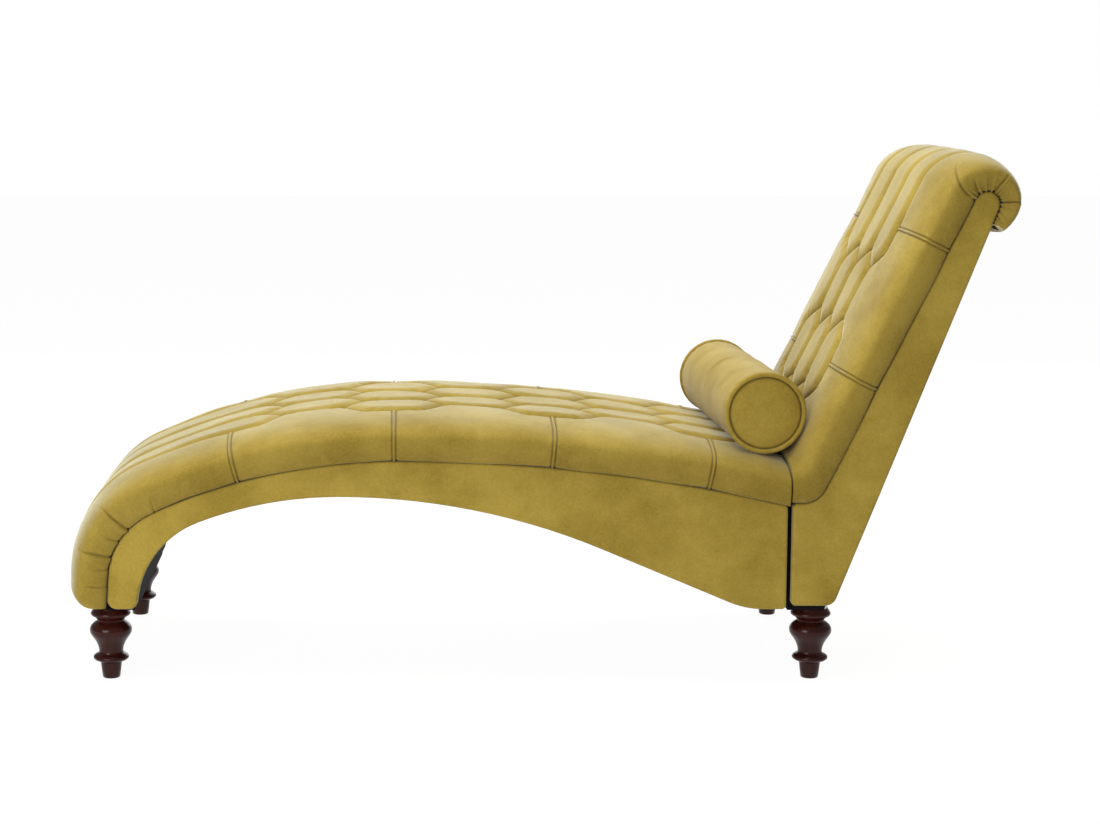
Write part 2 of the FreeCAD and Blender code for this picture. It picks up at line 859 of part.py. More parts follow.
def turned_leg(x, y):
    """A leg off the lathe: tapered foot, lens-shaped ring, vase belly, neck and collar."""

    def at(radius, height):
        return FreeCAD.Vector(radius, 0, height)

    ring_top = foot_length + ring_height
    rim_top = leg_height - collar_top_bevel
    bore = bolt_radius + hole_clearance
    bore_end = leg_height - leg_bolt_in_leg
    points = [
        at(waist_radius, ring_top),
        at(belly_radius, belly_height),
        at(belly_radius - shoulder_ease, belly_height + shoulder_fall),
        at(neck_radius, neck_height),
        at(collar_radius, rim_top),
        at(collar_top_radius, leg_height),
        at(bore, leg_height),
        at(bore, bore_end),
        at(0, bore_end),
        at(0, 0),
        at(foot_tip_radius, 0),
        at(foot_top_radius, foot_length),
        at(ring_radius, foot_length + ring_height / 2),
    ]
    leg = Part.Face(Part.Wire(closed(points))).revolve(FreeCAD.Vector(0, 0, 0), up, 360)
    leg.translate(FreeCAD.Vector(x, y, 0))
    return leg


def leg_bolt(x, y):
    low = leg_height - leg_bolt_in_leg + leg_bolt_point
    high = frame_bottom + block_height + nut_plate_thickness + bolt_stand_out
    return cylinder(bolt_radius, x, y, low, high - low, up)


def leg_nut_plate(x, y):
    """A square steel plate on the block, threaded for the leg's bolt."""
    half = nut_plate_size / 2
    low = frame_bottom + block_height
    high = low + nut_plate_thickness
    return block(x - half, x + half, y - half, y + half, low, high).cut(leg_hole(x, y, low, high))


def module_bolt(y):
    reach = 2 * rail_thickness + nut_plate_thickness + bolt_stand_out
    shank = cylinder(bolt_radius, rail_thickness - reach, y, module_bolt_z, reach, along)
    return shank.fuse(hexagon(rail_thickness, y, module_bolt_z, bolt_head_height))


def module_nut_plate(y):
    """The same plate behind the seat's joint rail, threaded for a bolt between the modules."""
    end = -rail_thickness
    start = end - nut_plate_thickness
    half = nut_plate_size / 2
    plate = block(start, end, y - half, y + half, module_bolt_z - half, module_bolt_z + half)
    radius = bolt_radius + hole_clearance
    return plate.cut(cylinder(radius, start, y, module_bolt_z, nut_plate_thickness, along))


# Bolster


def pillow_top(rise):
    """How high a pillow's chords reach: an odd number of them passes under the crown."""
    return rise * (1 - (pillow_chords % 2) / pillow_chords**2)


def bolster_centre():
    """Rests on the seat pad's pillows and leans on the back pad's, clear of both by a hair."""
    pillow = pillow_top(pillow_crown)
    seat_crest = seam_rear_radius + seat_groove_height + pillow
    middle_z = seam_crest_height - seam_rear_radius
    reach = seat_crest + bolster_radius + bolster_clearance
    x, z, heading = back_course.at(back_line_distance)
    out = normal(heading)
    stand = back_groove_height + pillow + bolster_radius + bolster_clearance
    base_x = x + stand * out[0] + seam_crest_to_joint
    base_z = z + stand * out[1] - middle_z
    climb_x, climb_z = math.cos(math.radians(heading)), math.sin(math.radians(heading))
    half = base_x * climb_x + base_z * climb_z
    climb = -half + math.sqrt(half * half - (base_x**2 + base_z**2 - reach**2))
    return base_x + climb * climb_x - seam_crest_to_joint, base_z + climb * climb_z + middle_z


def spun(edges, x, z):
    """Spins an outline, drawn with its radius along x and its place across the chaise along y."""
    solid = Part.Face(Part.Wire(edges)).revolve(FreeCAD.Vector(0, 0, 0), across, 360)
    solid.translate(FreeCAD.Vector(x, 0, z))
    return solid


def ring_point(radius, y):
    return FreeCAD.Vector(radius, y, 0)


def bolster_cover(x, z):
    """Straight in the middle and drawn in at both ends, round a plain filling."""
    half = bolster_length / 2
    straight = half - bolster_shoulder
    points = [
        ring_point(bolster_end_radius, -half),
        ring_point(bolster_radius, -straight),
        ring_point(bolster_radius, straight),
        ring_point(bolster_end_radius, half),
        ring_point(filling_radius, half),
        ring_point(filling_radius, -half),
    ]
    return spun(closed(points), x, z)


def bolster_filling(x, z):
    start = FreeCAD.Vector(x, -bolster_length / 2, z)
    return Part.makeCylinder(filling_radius, bolster_length, start, across)


def bolster_end(x, z, side):
    """The gathered end, a flat pad inside the piping."""
    base = bolster_length / 2
    rim = bolster_end_radius - piping_radius
    points = [
        ring_point(0, side * base),
        ring_point(rim, side * base),
        ring_point(rim, side * (base + bolster_dome)),
        ring_point(0, side * (base + bolster_dome)),
    ]
    return spun(closed(points), x, z)


def bolster_piping(x, z, side):
    """The corded seam round one end, drawn with a few flats, one of them on the cover's end."""
    half_turn = math.pi / piping_flats
    middle = bolster_length / 2 + piping_radius * math.cos(half_turn)
    points = []
    for flat_number in range(piping_flats):
        angle = -math.pi / 2 + half_turn * (2 * flat_number + 1)
        radius = bolster_end_radius + piping_radius * math.cos(angle)
        points.append(ring_point(radius, side * (middle + piping_radius * math.sin(angle))))
    return spun(closed(points), x, z)


save("seat_pad", seat_pad())
save("seat_deck", seat_deck())
save_both_sides("seat_side_panel", seat_side_panel())
save_both_sides("seat_side_frame", seat_side_frame())
save_both_sides("seat_corner_block", seat_corner_block())
save("seat_foot_rail", seat_foot_rail())
save("seat_front_rail", seat_rail(front_rail_x, front_rail_x + rail_thickness, rail_depth))
save("seat_middle_rail", seat_rail(middle_rail_x, middle_rail_x + rail_thickness, rail_depth))
save("seat_rear_rail", seat_rail(rear_rail_x, rear_rail_x + rail_thickness, rail_depth))
save("seat_joint_rail", seat_joint_rail())
save("seat_dust_cover", seat_dust_cover())

save("back_pad", back_pad())
save("back_deck", back_deck())
save_both_sides("back_side_panel", back_side_panel())
save_both_sides("back_side_frame", back_side_frame())
save_both_sides("back_corner_block", back_corner_block())
save("back_joint_rail", back_joint_rail())
save("back_lower_rail", back_rail(lower_rail_z, lower_rail_z + rail_thickness, rail_depth))
save("back_upper_rail", back_rail(upper_rail_z, upper_rail_z + rail_thickness, rail_depth))
save("back_roll_rail", back_roll_rail())
save("back_rear_panel", back_rear_panel())
save("back_dust_cover", back_dust_cover())

legs = leg_places(leg_foot_x) + leg_places(leg_back_x)
save_group("turned_legs", [turned_leg(x, y) for x, y in legs])
save_group("leg_bolts", [leg_bolt(x, y) for x, y in legs])
save_group("leg_nut_plates", [leg_nut_plate(x, y) for x, y in legs])
bolt_sides = (-module_bolt_y, module_bolt_y)
save_group("module_bolts", [module_bolt(y) for y in bolt_sides])
save_group("module_nut_plates", [module_nut_plate(y) for y in bolt_sides])

bolster_x, bolster_z = bolster_centre()
save("bolster_cover", bolster_cover(bolster_x, bolster_z))
save("bolster_filling", bolster_filling(bolster_x, bolster_z))
save_group("bolster_ends", [bolster_end(bolster_x, bolster_z, side) for side in (-1, 1)])
save_group("bolster_piping", [bolster_piping(bolster_x, bolster_z, side) for side in (-1, 1)])

os.makedirs("parts", exist_ok=True)
pieces = dict(exported)
foot_end = pieces["seat_pad"].optimalBoundingBox(False, False).XMin
roll_end = pieces["back_pad"].optimalBoundingBox(False, False).XMax
for name, shape in exported:
    shape.translate(FreeCAD.Vector(-(foot_end + roll_end) / 2, 0, 0))
    shape.exportStep("parts/" + name + ".step")
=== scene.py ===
"""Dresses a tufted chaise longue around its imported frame: velvet pads, panels, turned legs and bolster."""

import math

import bmesh
import bpy
import numpy as np
from bpy.props import FloatProperty, FloatVectorProperty, IntProperty, PointerProperty
from mathutils import Matrix, Vector


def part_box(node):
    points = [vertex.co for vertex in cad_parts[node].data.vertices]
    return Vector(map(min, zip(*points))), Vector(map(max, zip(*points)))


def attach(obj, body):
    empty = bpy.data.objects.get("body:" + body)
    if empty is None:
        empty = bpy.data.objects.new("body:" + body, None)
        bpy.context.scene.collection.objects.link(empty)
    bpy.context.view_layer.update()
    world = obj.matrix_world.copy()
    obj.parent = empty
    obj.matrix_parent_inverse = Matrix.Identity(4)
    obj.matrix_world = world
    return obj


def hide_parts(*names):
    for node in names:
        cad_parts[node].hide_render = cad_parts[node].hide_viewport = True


bl_info = {
    "name": "Chaise longue upholstery",
    "version": (1, 0, 0),
    "blender": (4, 5, 0),
    "location": "3D View > Sidebar > Chaise",
    "description": "Upholsters and finishes a tufted chaise longue around its frame",
    "category": "Object",
}

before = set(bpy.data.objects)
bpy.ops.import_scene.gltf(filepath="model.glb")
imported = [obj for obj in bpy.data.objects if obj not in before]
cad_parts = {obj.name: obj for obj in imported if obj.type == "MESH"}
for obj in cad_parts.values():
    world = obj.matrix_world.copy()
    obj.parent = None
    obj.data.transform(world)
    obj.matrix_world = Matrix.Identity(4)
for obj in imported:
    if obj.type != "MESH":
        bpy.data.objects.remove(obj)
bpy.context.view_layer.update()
MM = 0.001
# Where the seat and the back meet, along the chaise
JOINT_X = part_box("seat_deck")[1].x
# Points nearer together than this are one point
SAME_POINT = 0.01 * MM
# Points this near to an axis or to the middle are on it
ON_AXIS = 0.001 * MM
# The vertex attribute of painted shade, from 0 to 1: it darkens the velvet and takes away its sheen in sewn
# lines, folds, pleats and beside seams
SHADE_ATTRIBUTE = "painted_shade"


def paint(red, green, blue):
    """A colour as a screen shows it, 0 to 255, turned to the linear one that shaders take."""
    shares = [channel / 255 for channel in (red, green, blue)]
    return tuple(s / 12.92 if s <= 0.04045 else ((s + 0.055) / 1.055) ** 2.4 for s in shares)


# Sizes and colours that a user would change


def length(name, millimetres, description):
    return FloatProperty(
        name=name, description=description, default=millimetres * MM, unit="LENGTH", precision=4
    )


def colour(name, default, description):
    return FloatVectorProperty(
        name=name, description=description, default=default, subtype="COLOR", min=0.0, max=1.0
    )


class ChaiseSizes(bpy.types.PropertyGroup):
    pillow_height: length("Pillow height", 73.0, "How far the pads stand above their seam")
    tuft_depth: length("Tuft depth", 13.0, "How far the sewn lines sink into the pads")
    tuft_spacing: length("Tuft spacing", 109.0, "From one sewn line to the next across the pads")
    tuft_flat: length("Straight run", 78.0, "Length of the straight run at each row of tufts")
    pillow_round: length("Pillow rounding", 24.0, "How far from a sewn line a pillow levels out")
    band_bulge: length("Band bulge", 13.0, "How far the side bands swell beyond the side panels")
    pleat_gap: length("Pleat gap", 6.0, "Between the two folds of a pleat in a side band")
    panel_rounding: length("Panel rounding", 5.0, "Rounding of the upholstered side panels' rims")
    piping: length("Piping", 8.0, "Thickness of the cord round the bolster's ends")
    mesh_step: length("Mesh step", 2.8, "Distance between the pads' mesh lines")
    bolster_sink: length("Bolster sink", 4.0, "How far the bolster settles into the pads")
    bolster_turn: FloatProperty(
        name="Bolster turn",
        description="How far the loose bolster lies out of square",
        default=math.radians(2.4),
        subtype="ANGLE",
    )
    leg_facets: IntProperty(
        name="Leg facets", description="Steps round each turned leg", default=72, min=12
    )


class ChaiseColours(bpy.types.PropertyGroup):
    velvet: colour("Velvet", paint(174, 150, 64), "Pile of the velvet")
    velvet_shade: colour("Velvet shade", paint(140, 117, 42), "Velvet brushed the other way")
    # Painted shade: the colour that creases, folds, pleats and seams are darkened towards
    crease_shade: colour("Crease shade", paint(62, 47, 16), "Velvet deep in a crease or seam")
    mahogany: colour("Mahogany", paint(60, 21, 15), "Stained wood of the legs")
    mahogany_grain: colour("Mahogany grain", paint(38, 12, 9), "Dark grain of the legs")
    # The dust covers' own black, also used as painted shade on the frame boards seen in the gaps
    dust_cloth_and_gap_shade: colour("Dust cloth", paint(24, 21, 22), "Black cloth under the frame")
    timber: colour("Timber", paint(196, 160, 112), "Bare rails and boards")
    steel: colour("Steel", paint(176, 176, 172), "Zinc-plated fastenings")
    floor: colour("Floor", paint(244, 243, 240), "Studio floor")


def sizes():
    return bpy.context.scene.chaise_sizes


def colours():
    return bpy.context.scene.chaise_colours


# Materials


# The colour sockets of a Mix node
MIX_FIRST = 6
MIX_SECOND = 7
MIX_RESULT = 2


class Shader:
    """A node material with one Principled shader, and short ways to feed it."""

    def __init__(self, name, **values):
        self.material = bpy.data.materials.new(name)
        self.material.use_nodes = True
        self.tree = self.material.node_tree
        self.main = self.tree.nodes["Principled BSDF"]
        for socket, value in values.items():
            self.main.inputs[socket.replace("_", " ")].default_value = value
        self.place = self.tree.nodes.new("ShaderNodeTexCoord").outputs["Object"]

    def feed(self, value, socket):
        """Links an output to a socket, or sets a number or a colour on it."""
        if hasattr(value, "is_output"):
            self.tree.links.new(value, socket)
        elif isinstance(value, float):
            socket.default_value = value
        else:
            socket.default_value = (*value, 1.0)

    def stretched(self, scale):
        node = self.tree.nodes.new("ShaderNodeMapping")
        node.inputs["Scale"].default_value = scale
        self.feed(self.place, node.inputs["Vector"])
        return node.outputs["Vector"]

    def noise(self, scale, detail=3.0, roughness=0.5, place=None):
        node = self.tree.nodes.new("ShaderNodeTexNoise")
        self.feed(scale, node.inputs["Scale"])
        self.feed(detail, node.inputs["Detail"])
        self.feed(roughness, node.inputs["Roughness"])
        self.feed(place or self.place, node.inputs["Vector"])
        return node.outputs["Fac"]

    def remap(self, value, low, high, to_low=0.0, to_high=1.0):
        node = self.tree.nodes.new("ShaderNodeMapRange")
        self.feed(low, node.inputs["From Min"])
        self.feed(high, node.inputs["From Max"])
        self.feed(to_low, node.inputs["To Min"])
        self.feed(to_high, node.inputs["To Max"])
        self.feed(value, node.inputs["Value"])
        return node.outputs["Result"]

    def mixed(self, share, first, second):
        """A colour between two, as a texture or a number says."""
        node = self.tree.nodes.new("ShaderNodeMix")
        node.data_type = "RGBA"
        self.feed(first, node.inputs[MIX_FIRST])
        self.feed(second, node.inputs[MIX_SECOND])
        self.feed(share, node.inputs["Factor"])
        return node.outputs[MIX_RESULT]

    def coloured(self, share, first, second):
        """Gives the surface a colour between two."""
        self.feed(self.mixed(share, first, second), self.main.inputs["Base Color"])

    def roughened(self, value, low, high, smooth, rough):
        """Gives the surface a roughness from smooth to rough, as a texture goes from low to high."""
        self.feed(self.remap(value, low, high, smooth, rough), self.main.inputs["Roughness"])

    def bump(self, *layers):
        """Height layers, each a texture value, its depth in metres and its strength."""
        normal = None
        for height, distance, strength in layers:
            node = self.tree.nodes.new("ShaderNodeBump")
            self.feed(distance, node.inputs["Distance"])
            self.feed(strength, node.inputs["Strength"])
            self.feed(height, node.inputs["Height"])
            if normal:
                self.feed(normal, node.inputs["Normal"])
            normal = node.outputs["Normal"]
        self.feed(normal, self.main.inputs["Normal"])


made_materials = {}


def finish_of(maker):
    """The material that a function makes, made the first time that it is asked for."""
    name = maker.__name__
    if name not in made_materials:
        made_materials[name] = maker(name)
    return made_materials[name]


def faded(colour, share):
    """A darker colour, with a share of each channel."""
    return tuple(channel * share for channel in colour)


FLECK_SHARE = 0.4
# Sheen left where the painted shade is full
SHADED_SHEEN = 0.1
# Sheen of the bolster's shaded copy of the velvet
SHADED_BOLSTER_SHEEN = 0.4


def velvet(name, sheen=1.0):
    """Short pile, paler where it is brushed towards the eye and at grazing angles."""
    cloth = Shader(
        name,
        Sheen_Roughness=0.3,
        Sheen_Tint=(*paint(246, 247, 226), 1.0),
        Specular_IOR_Level=0.18,
    )
    pile_up = colours().velvet
    pile_down = colours().velvet_shade
    brushed = cloth.remap(cloth.noise(scale=8.0, detail=6.0, roughness=0.68), low=0.38, high=0.62)
    flecked = cloth.remap(cloth.noise(scale=240.0, detail=2.0, roughness=0.7), low=0.3, high=0.7)
    nap = cloth.mixed(brushed, pile_up, pile_down)
    flecks = cloth.mixed(flecked, pile_down, pile_up)
    blend = cloth.mixed(FLECK_SHARE, nap, flecks)
    # Painted shade: the attribute darkens the colour towards the crease shade and takes most of the sheen
    # away
    reader = cloth.tree.nodes.new("ShaderNodeAttribute")
    reader.attribute_name = SHADE_ATTRIBUTE
    painted_shade = reader.outputs["Fac"]
    cloth.coloured(painted_shade, blend, colours().crease_shade)
    shine = cloth.remap(painted_shade, 0.0, 1.0, sheen, SHADED_SHEEN)
    cloth.feed(shine, cloth.main.inputs["Sheen Weight"])
    cloth.roughened(brushed, low=0.0, high=1.0, smooth=0.74, rough=0.9)
    pile = cloth.noise(scale=1700.0, detail=2.0, roughness=0.6)
    soft = cloth.noise(scale=30.0)
    cloth.bump((soft, 1.6 * MM, 0.35), (pile, 0.5 * MM, 0.45))
    return cloth.material


def shaded_bolster_velvet(name):
    """The same cloth with less sheen, a shaded copy that makes the bolster look darker."""
    return velvet(name, SHADED_BOLSTER_SHEEN)


def mahogany(name):
    wood = Shader(name, Coat_Weight=0.14, Coat_Roughness=0.1, Specular_IOR_Level=0.14)
    up_the_leg = wood.stretched((1.0, 1.0, 0.12))
    grain = wood.noise(scale=60.0, detail=6.0, roughness=0.7, place=up_the_leg)
    share = wood.remap(grain, low=0.35, high=0.7)
    wood.coloured(share, colours().mahogany, colours().mahogany_grain)
    wood.roughened(grain, low=0.3, high=0.7, smooth=0.2, rough=0.34)
    wood.bump((grain, 0.3 * MM, 0.12))
    return wood.material


# Black cloth: the real dust covers, and painted shade on the frame boards seen in the gaps
def dust_cloth_and_gap_shade(name):
    cloth = Shader(name, Specular_IOR_Level=0.08, Sheen_Weight=0.03)
    black = colours().dust_cloth_and_gap_shade
    fibres = cloth.noise(scale=420.0, detail=3.0, roughness=0.7)
    cloth.coloured(cloth.remap(fibres, low=0.35, high=0.65), faded(black, 0.55), black)
    cloth.roughened(fibres, low=0.3, high=0.7, smooth=0.8, rough=0.95)
    cloth.bump((fibres, 0.4 * MM, 0.4))
    return cloth.material


def bare_wood(name, stretch, grain_share):
    wood = Shader(name, Specular_IOR_Level=0.3)
    timber = colours().timber
    grain = wood.noise(scale=26.0, detail=7.0, roughness=0.65, place=wood.stretched(stretch))
    wood.coloured(wood.remap(grain, low=0.38, high=0.62), timber, faded(timber, grain_share))
    wood.roughened(grain, low=0.3, high=0.7, smooth=0.55, rough=0.75)
    wood.bump((grain, 0.4 * MM, 0.3))
    return wood.material


def planed_timber(name):
    return bare_wood(name, stretch=(1.0, 0.1, 1.0), grain_share=0.62)


def plywood(name):
    return bare_wood(name, stretch=(0.16, 1.0, 2.4), grain_share=0.72)


def zinc_steel(name):
    metal = Shader(name, Metallic=1.0)
    steel = colours().steel
    marks = metal.noise(scale=90.0, detail=4.0, roughness=0.6)
    metal.coloured(metal.remap(marks, low=0.35, high=0.65), steel, faded(steel, 0.72))
    metal.roughened(marks, low=0.3, high=0.7, smooth=0.28, rough=0.48)
    metal.bump((metal.noise(scale=600.0), 0.2 * MM, 0.15))
    return metal.material


def wadding(name):
    fibre = Shader(name, Specular_IOR_Level=0.1, Sheen_Weight=0.2)
    white = paint(236, 233, 222)
    grey = paint(214, 210, 196)
    tufts = fibre.noise(scale=55.0, detail=5.0, roughness=0.6)
    fibre.coloured(fibre.remap(tufts, low=0.3, high=0.7), white, grey)
    fibre.roughened(tufts, low=0.3, high=0.7, smooth=0.85, rough=1.0)
    fibre.bump((tufts, 2.0 * MM, 0.5))
    return fibre.material


# Helpers for new pieces


def new_piece(name, bm, material, body, smooth_angle=None):
    """Turns a bmesh into an object at the origin that rides on a body."""
    bmesh.ops.recalc_face_normals(bm, faces=bm.faces)
    mesh = bpy.data.meshes.new(name)
    bm.to_mesh(mesh)
    bm.free()
    mesh.polygons.foreach_set("use_smooth", [True] * len(mesh.polygons))
    if smooth_angle is not None:
        mesh.set_sharp_from_angle(angle=smooth_angle)
    piece = bpy.data.objects.new(name, mesh)
    bpy.context.scene.collection.objects.link(piece)
    mesh.materials.append(material)
    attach(piece, body)
    return piece


def node_copy(node):
    """A CAD node's mesh as a bmesh, with its loose triangles joined up."""
    bm = bmesh.new()
    bm.from_mesh(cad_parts[node].data)
    bmesh.ops.remove_doubles(bm, verts=bm.verts, dist=SAME_POINT)
    flat = math.radians(0.5)
    bmesh.ops.dissolve_limit(bm, angle_limit=flat, verts=bm.verts, edges=bm.edges)
    return bm


def lathe(profile, steps, axis, centre):
    """Spins a profile of (radius, distance along the axis) points, closed at both ends."""
    bm = bmesh.new()
    across = axis.orthogonal().normalized()
    points = [centre + across * radius + axis * place for radius, place in profile]
    verts = [bm.verts.new(point) for point in points]
    edges = [bm.edges.new(pair) for pair in zip(verts, verts[1:])]
    bmesh.ops.spin(
        bm,
        geom=verts + edges,
        cent=centre,
        axis=axis,
        angle=2 * math.pi,
        steps=steps,
        use_merge=True,
    )
    bmesh.ops.remove_doubles(bm, verts=bm.verts, dist=ON_AXIS)
    return bm


# Side outlines, in metres and degrees, with x from where the two modules meet


class SideLine:
    """A start, a heading, and runs of (length, turn), left turns positive."""

    def __init__(self, x, z, heading, runs):
        self.x = x
        self.z = z
        self.heading = heading
        self.runs = [run for run in runs if run[0] > SAME_POINT]
        self.length = sum(run[0] for run in self.runs)

    def step(self, x, z, heading, distance, turn):
        """Where an arc that starts here has got to, for arrays of distances and turns."""
        begin = np.radians(heading)
        end = np.radians(heading + turn)
        mid = (begin + end) / 2
        half = (end - begin) / 2
        chord = distance * np.sinc(half / np.pi)
        return x + chord * np.cos(mid), z + chord * np.sin(mid), heading + turn

    def at(self, distance):
        """Places and headings at distances along the line."""
        distance = np.asarray(distance, float)
        x, z, heading = (np.zeros_like(distance) for _ in range(3))
        here_x, here_z, here_heading, start = self.x, self.z, self.heading, 0.0
        for number, (run, turn) in enumerate(self.runs):
            inside = distance >= start
            if number == 0:
                inside = inside | (distance < 0)
            along = distance[inside] - start
            bend = turn * np.clip(along / run, 0, 1)
            found = self.step(here_x, here_z, here_heading, along, bend)
            x[inside], z[inside], heading[inside] = found
            here_x, here_z, here_heading = self.step(here_x, here_z, here_heading, run, turn)
            start += run
        return x, z, heading


def corner(x0, z0, heading0, x1, z1, heading1, longest=None):
    """Runs that join two places and headings: straight, one tangent arc, straight."""
    c0, s0 = math.cos(math.radians(heading0)), math.sin(math.radians(heading0))
    c1, s1 = math.cos(math.radians(heading1)), math.sin(math.radians(heading1))
    cross = c0 * s1 - s0 * c1
    before = ((x1 - x0) * s1 - (z1 - z0) * c1) / cross
    after = ((x1 - x0) * s0 - (z1 - z0) * c0) / -cross
    turn = heading1 - heading0
    tangent = min(before, after)
    if longest is not None:
        tangent = min(tangent, longest)
    radius = tangent / math.tan(math.radians(abs(turn)) / 2)
    return [(before - tangent, 0.0), (radius * math.radians(abs(turn)), turn), (after - tangent, 0.0)]


def crown(run, drop):
    """Radius and turn of an arc that is level at its crest and has fallen by drop after run."""
    radius = (run * run + drop * drop) / (2 * drop)
    return radius, math.degrees(math.asin(run / radius))


# Half widths of the covered sides, and of the pads' undersides between the side panels
BODY_HALF = 283.0 * MM
DECK_HALF = 266.6 * MM

# The seat's seam climbs the foot, rounds over, and arches in two arcs that meet at the crest
FOOT_HEADING = 86.0
SEAT_SEAM_START = (-1139.5 * MM, 123.0 * MM)
CREST = (-651.0 * MM, 378.0 * MM)
FRONT_RUN = 409.0 * MM
FRONT_DROP = 87.0 * MM
REAR_DROP = 76.0 * MM
front_radius, front_turn = crown(FRONT_RUN, FRONT_DROP)
rear_radius, rear_turn = crown(-CREST[0], REAR_DROP)
shoulder = (CREST[0] - FRONT_RUN, CREST[1] - FRONT_DROP)
foot_runs = corner(*SEAT_SEAM_START, FOOT_HEADING, *shoulder, front_turn)
arch_runs = [
    (front_radius * math.radians(front_turn), -front_turn),
    (rear_radius * math.radians(rear_turn), -rear_turn),
]
SEAT_LINE = SideLine(*SEAT_SEAM_START, FOOT_HEADING, foot_runs + arch_runs)

# The back's seam starts level at the heel, climbs the front, winds over the roll and ends in a tail
OVERRUN = 60.0 * MM
HEEL_HEIGHT = 307.0 * MM
HEEL_RADIUS = 40.0 * MM
FRONT_HEADING = 64.0
REAR_HEADING = -111.2
ROLL_CENTRE = (311.0 * MM, 803.0 * MM)
ROLL_CORE = 22.0 * MM
ROLL_TAIL = 25.0 * MM
ROLL_TURN = FRONT_HEADING - REAR_HEADING
roll_front = (
    ROLL_CENTRE[0] - ROLL_CORE * math.sin(math.radians(FRONT_HEADING)),
    ROLL_CENTRE[1] + ROLL_CORE * math.cos(math.radians(FRONT_HEADING)),
)
heel_tangent = HEEL_RADIUS * math.tan(math.radians(FRONT_HEADING) / 2)
back_runs = corner(-OVERRUN, HEEL_HEIGHT, 0.0, *roll_front, FRONT_HEADING, heel_tangent)
roll_run = ROLL_CORE * math.radians(ROLL_TURN)
roll_runs = [(roll_run, -ROLL_TURN), (ROLL_TAIL, 0.0)]
BACK_LINE = SideLine(-OVERRUN, HEEL_HEIGHT, 0.0, back_runs + roll_runs)
# Distances along it at which the straight front, the roll and the tail start
BACK_STRAIGHT = back_runs[0][0] + back_runs[1][0]
BACK_ROLL = BACK_STRAIGHT + back_runs[2][0]
BACK_TAIL = BACK_ROLL + roll_run


def unit(angle):
    """Unit vectors square to headings in degrees, to their left."""
    return -np.sin(np.radians(angle)), np.cos(np.radians(angle))


# Tufted pads


# Half the width of a pad's level middle, and the share of its height where its bands are widest
LEVEL_HALF = 120.0 * MM
WIDEST = 0.5
# How square a band's shoulder and its tuck are: 2 and 1 are round
SHOULDER_POWER = 2.3
TUCK_POWER = 0.8
PROFILE_STEPS = 160

# Sewn lines across a wide and a narrow row, in tuft spacings from the middle
WIDE_ROW = (-1.5, -0.5, 0.5, 1.5)
NARROW_ROW = (-1.0, 0.0, 1.0)
# A loose line lies as high as the cloth this far from a tight one, and gets this share of the painted shade
# along it
LOOSE_SLACK = 2.2 * MM
LOOSE_LINE_SHADE = 0.45
# Half width of the painted shade along each sewn line
CREASE_SHADE_WIDTH = 2.3 * MM
# How softly the hollows of neighbouring lines run together
HOLLOW_SOFTNESS = 4.0 * MM


def band_profile():
    """The pad's cross-section as (fabric length from the middle, y, share of the height, normal)."""
    turn = np.linspace(0, math.pi / 2, PROFILE_STEPS)
    bulge = sizes().band_bulge
    reach = BODY_HALF + bulge - LEVEL_HALF
    power = 2 / SHOULDER_POWER
    over_y = LEVEL_HALF + reach * np.sin(turn) ** power
    over_h = WIDEST + (1 - WIDEST) * np.cos(turn) ** power
    under_h = WIDEST * (1 - np.sin(turn[1:]))
    under_y = BODY_HALF + bulge * np.cos(turn[1:]) ** TUCK_POWER
    y = np.concatenate([[0.0], over_y, under_y])
    share = np.concatenate([[1.0], over_h, under_h])
    height = share * sizes().pillow_height
    along = np.concatenate([[0.0], np.cumsum(np.hypot(np.diff(y), np.diff(height)))])
    slope_y = np.gradient(y, along)
    slope_h = np.gradient(height, along)
    steep = np.hypot(slope_y, slope_h)
    return along, y, share, -slope_h / steep, slope_y / steep


def spread(low, high, fine_share, places, reach, samples=6000):
    """Places from low to high, a mesh step apart, and a share of it within reach of given places."""
    line = np.linspace(low, high, samples)
    step = sizes().mesh_step
    density = np.full_like(line, 1 / step)
    for place in places:
        density[np.abs(line - place) < reach] = 1 / (fine_share * step)
    count = np.concatenate([[0.0], np.cumsum((density[1:] + density[:-1]) / 2 * np.diff(line))])
    number = max(2, int(round(count[-1])))
    return np.interp(np.linspace(0, count[-1], number + 1), count, line)


def sewn_lines(rows, wide_first, start, end, lean):
    """The honeycomb of sewn lines as polylines of (distance along, fabric place across).

    Wide rows have four lines and the rows between them three. Curved lines join row to row, and the
    outermost rows' lines run on to the pad's ends. Each line comes with its slack: the curved lines
    that lean one way are folds pulled tight, and those that lean the other way are looser.
    """
    gap = sizes().tuft_spacing
    half = sizes().tuft_flat / 2
    wide = [gap * share for share in WIDE_ROW]
    narrow = [gap * share for share in NARROW_ROW]
    lines = []
    for number, place in enumerate(rows):
        is_wide = (number % 2 == 0) == wide_first
        here = wide if is_wide else narrow
        first = start if number == 0 else place - half
        last = end if number == len(rows) - 1 else place + half
        lines += [([(first, across), (last, across)], 0.0) for across in here]
        if number == len(rows) - 1:
            continue
        beyond = narrow if is_wide else wide
        next_place = rows[number + 1]
        for across in here:
            for other in beyond:
                if abs(other - across) < gap:
                    slack = 0.0 if (other - across) * lean > 0 else LOOSE_SLACK
                    curve = curved(place + half, across, next_place - half, other)
                    lines.append((curve, slack))
    return lines


def eased(share):
    """A share from 0 to 1 that starts and ends gently."""
    return share * share * (3 - 2 * share)


def curved(start, across, end, other, points=9):
    """An S-shaped line from one row to the next."""
    shares = np.linspace(0, 1, points)
    return [(start + (end - start) * s, across + (other - across) * eased(s)) for s in shares]


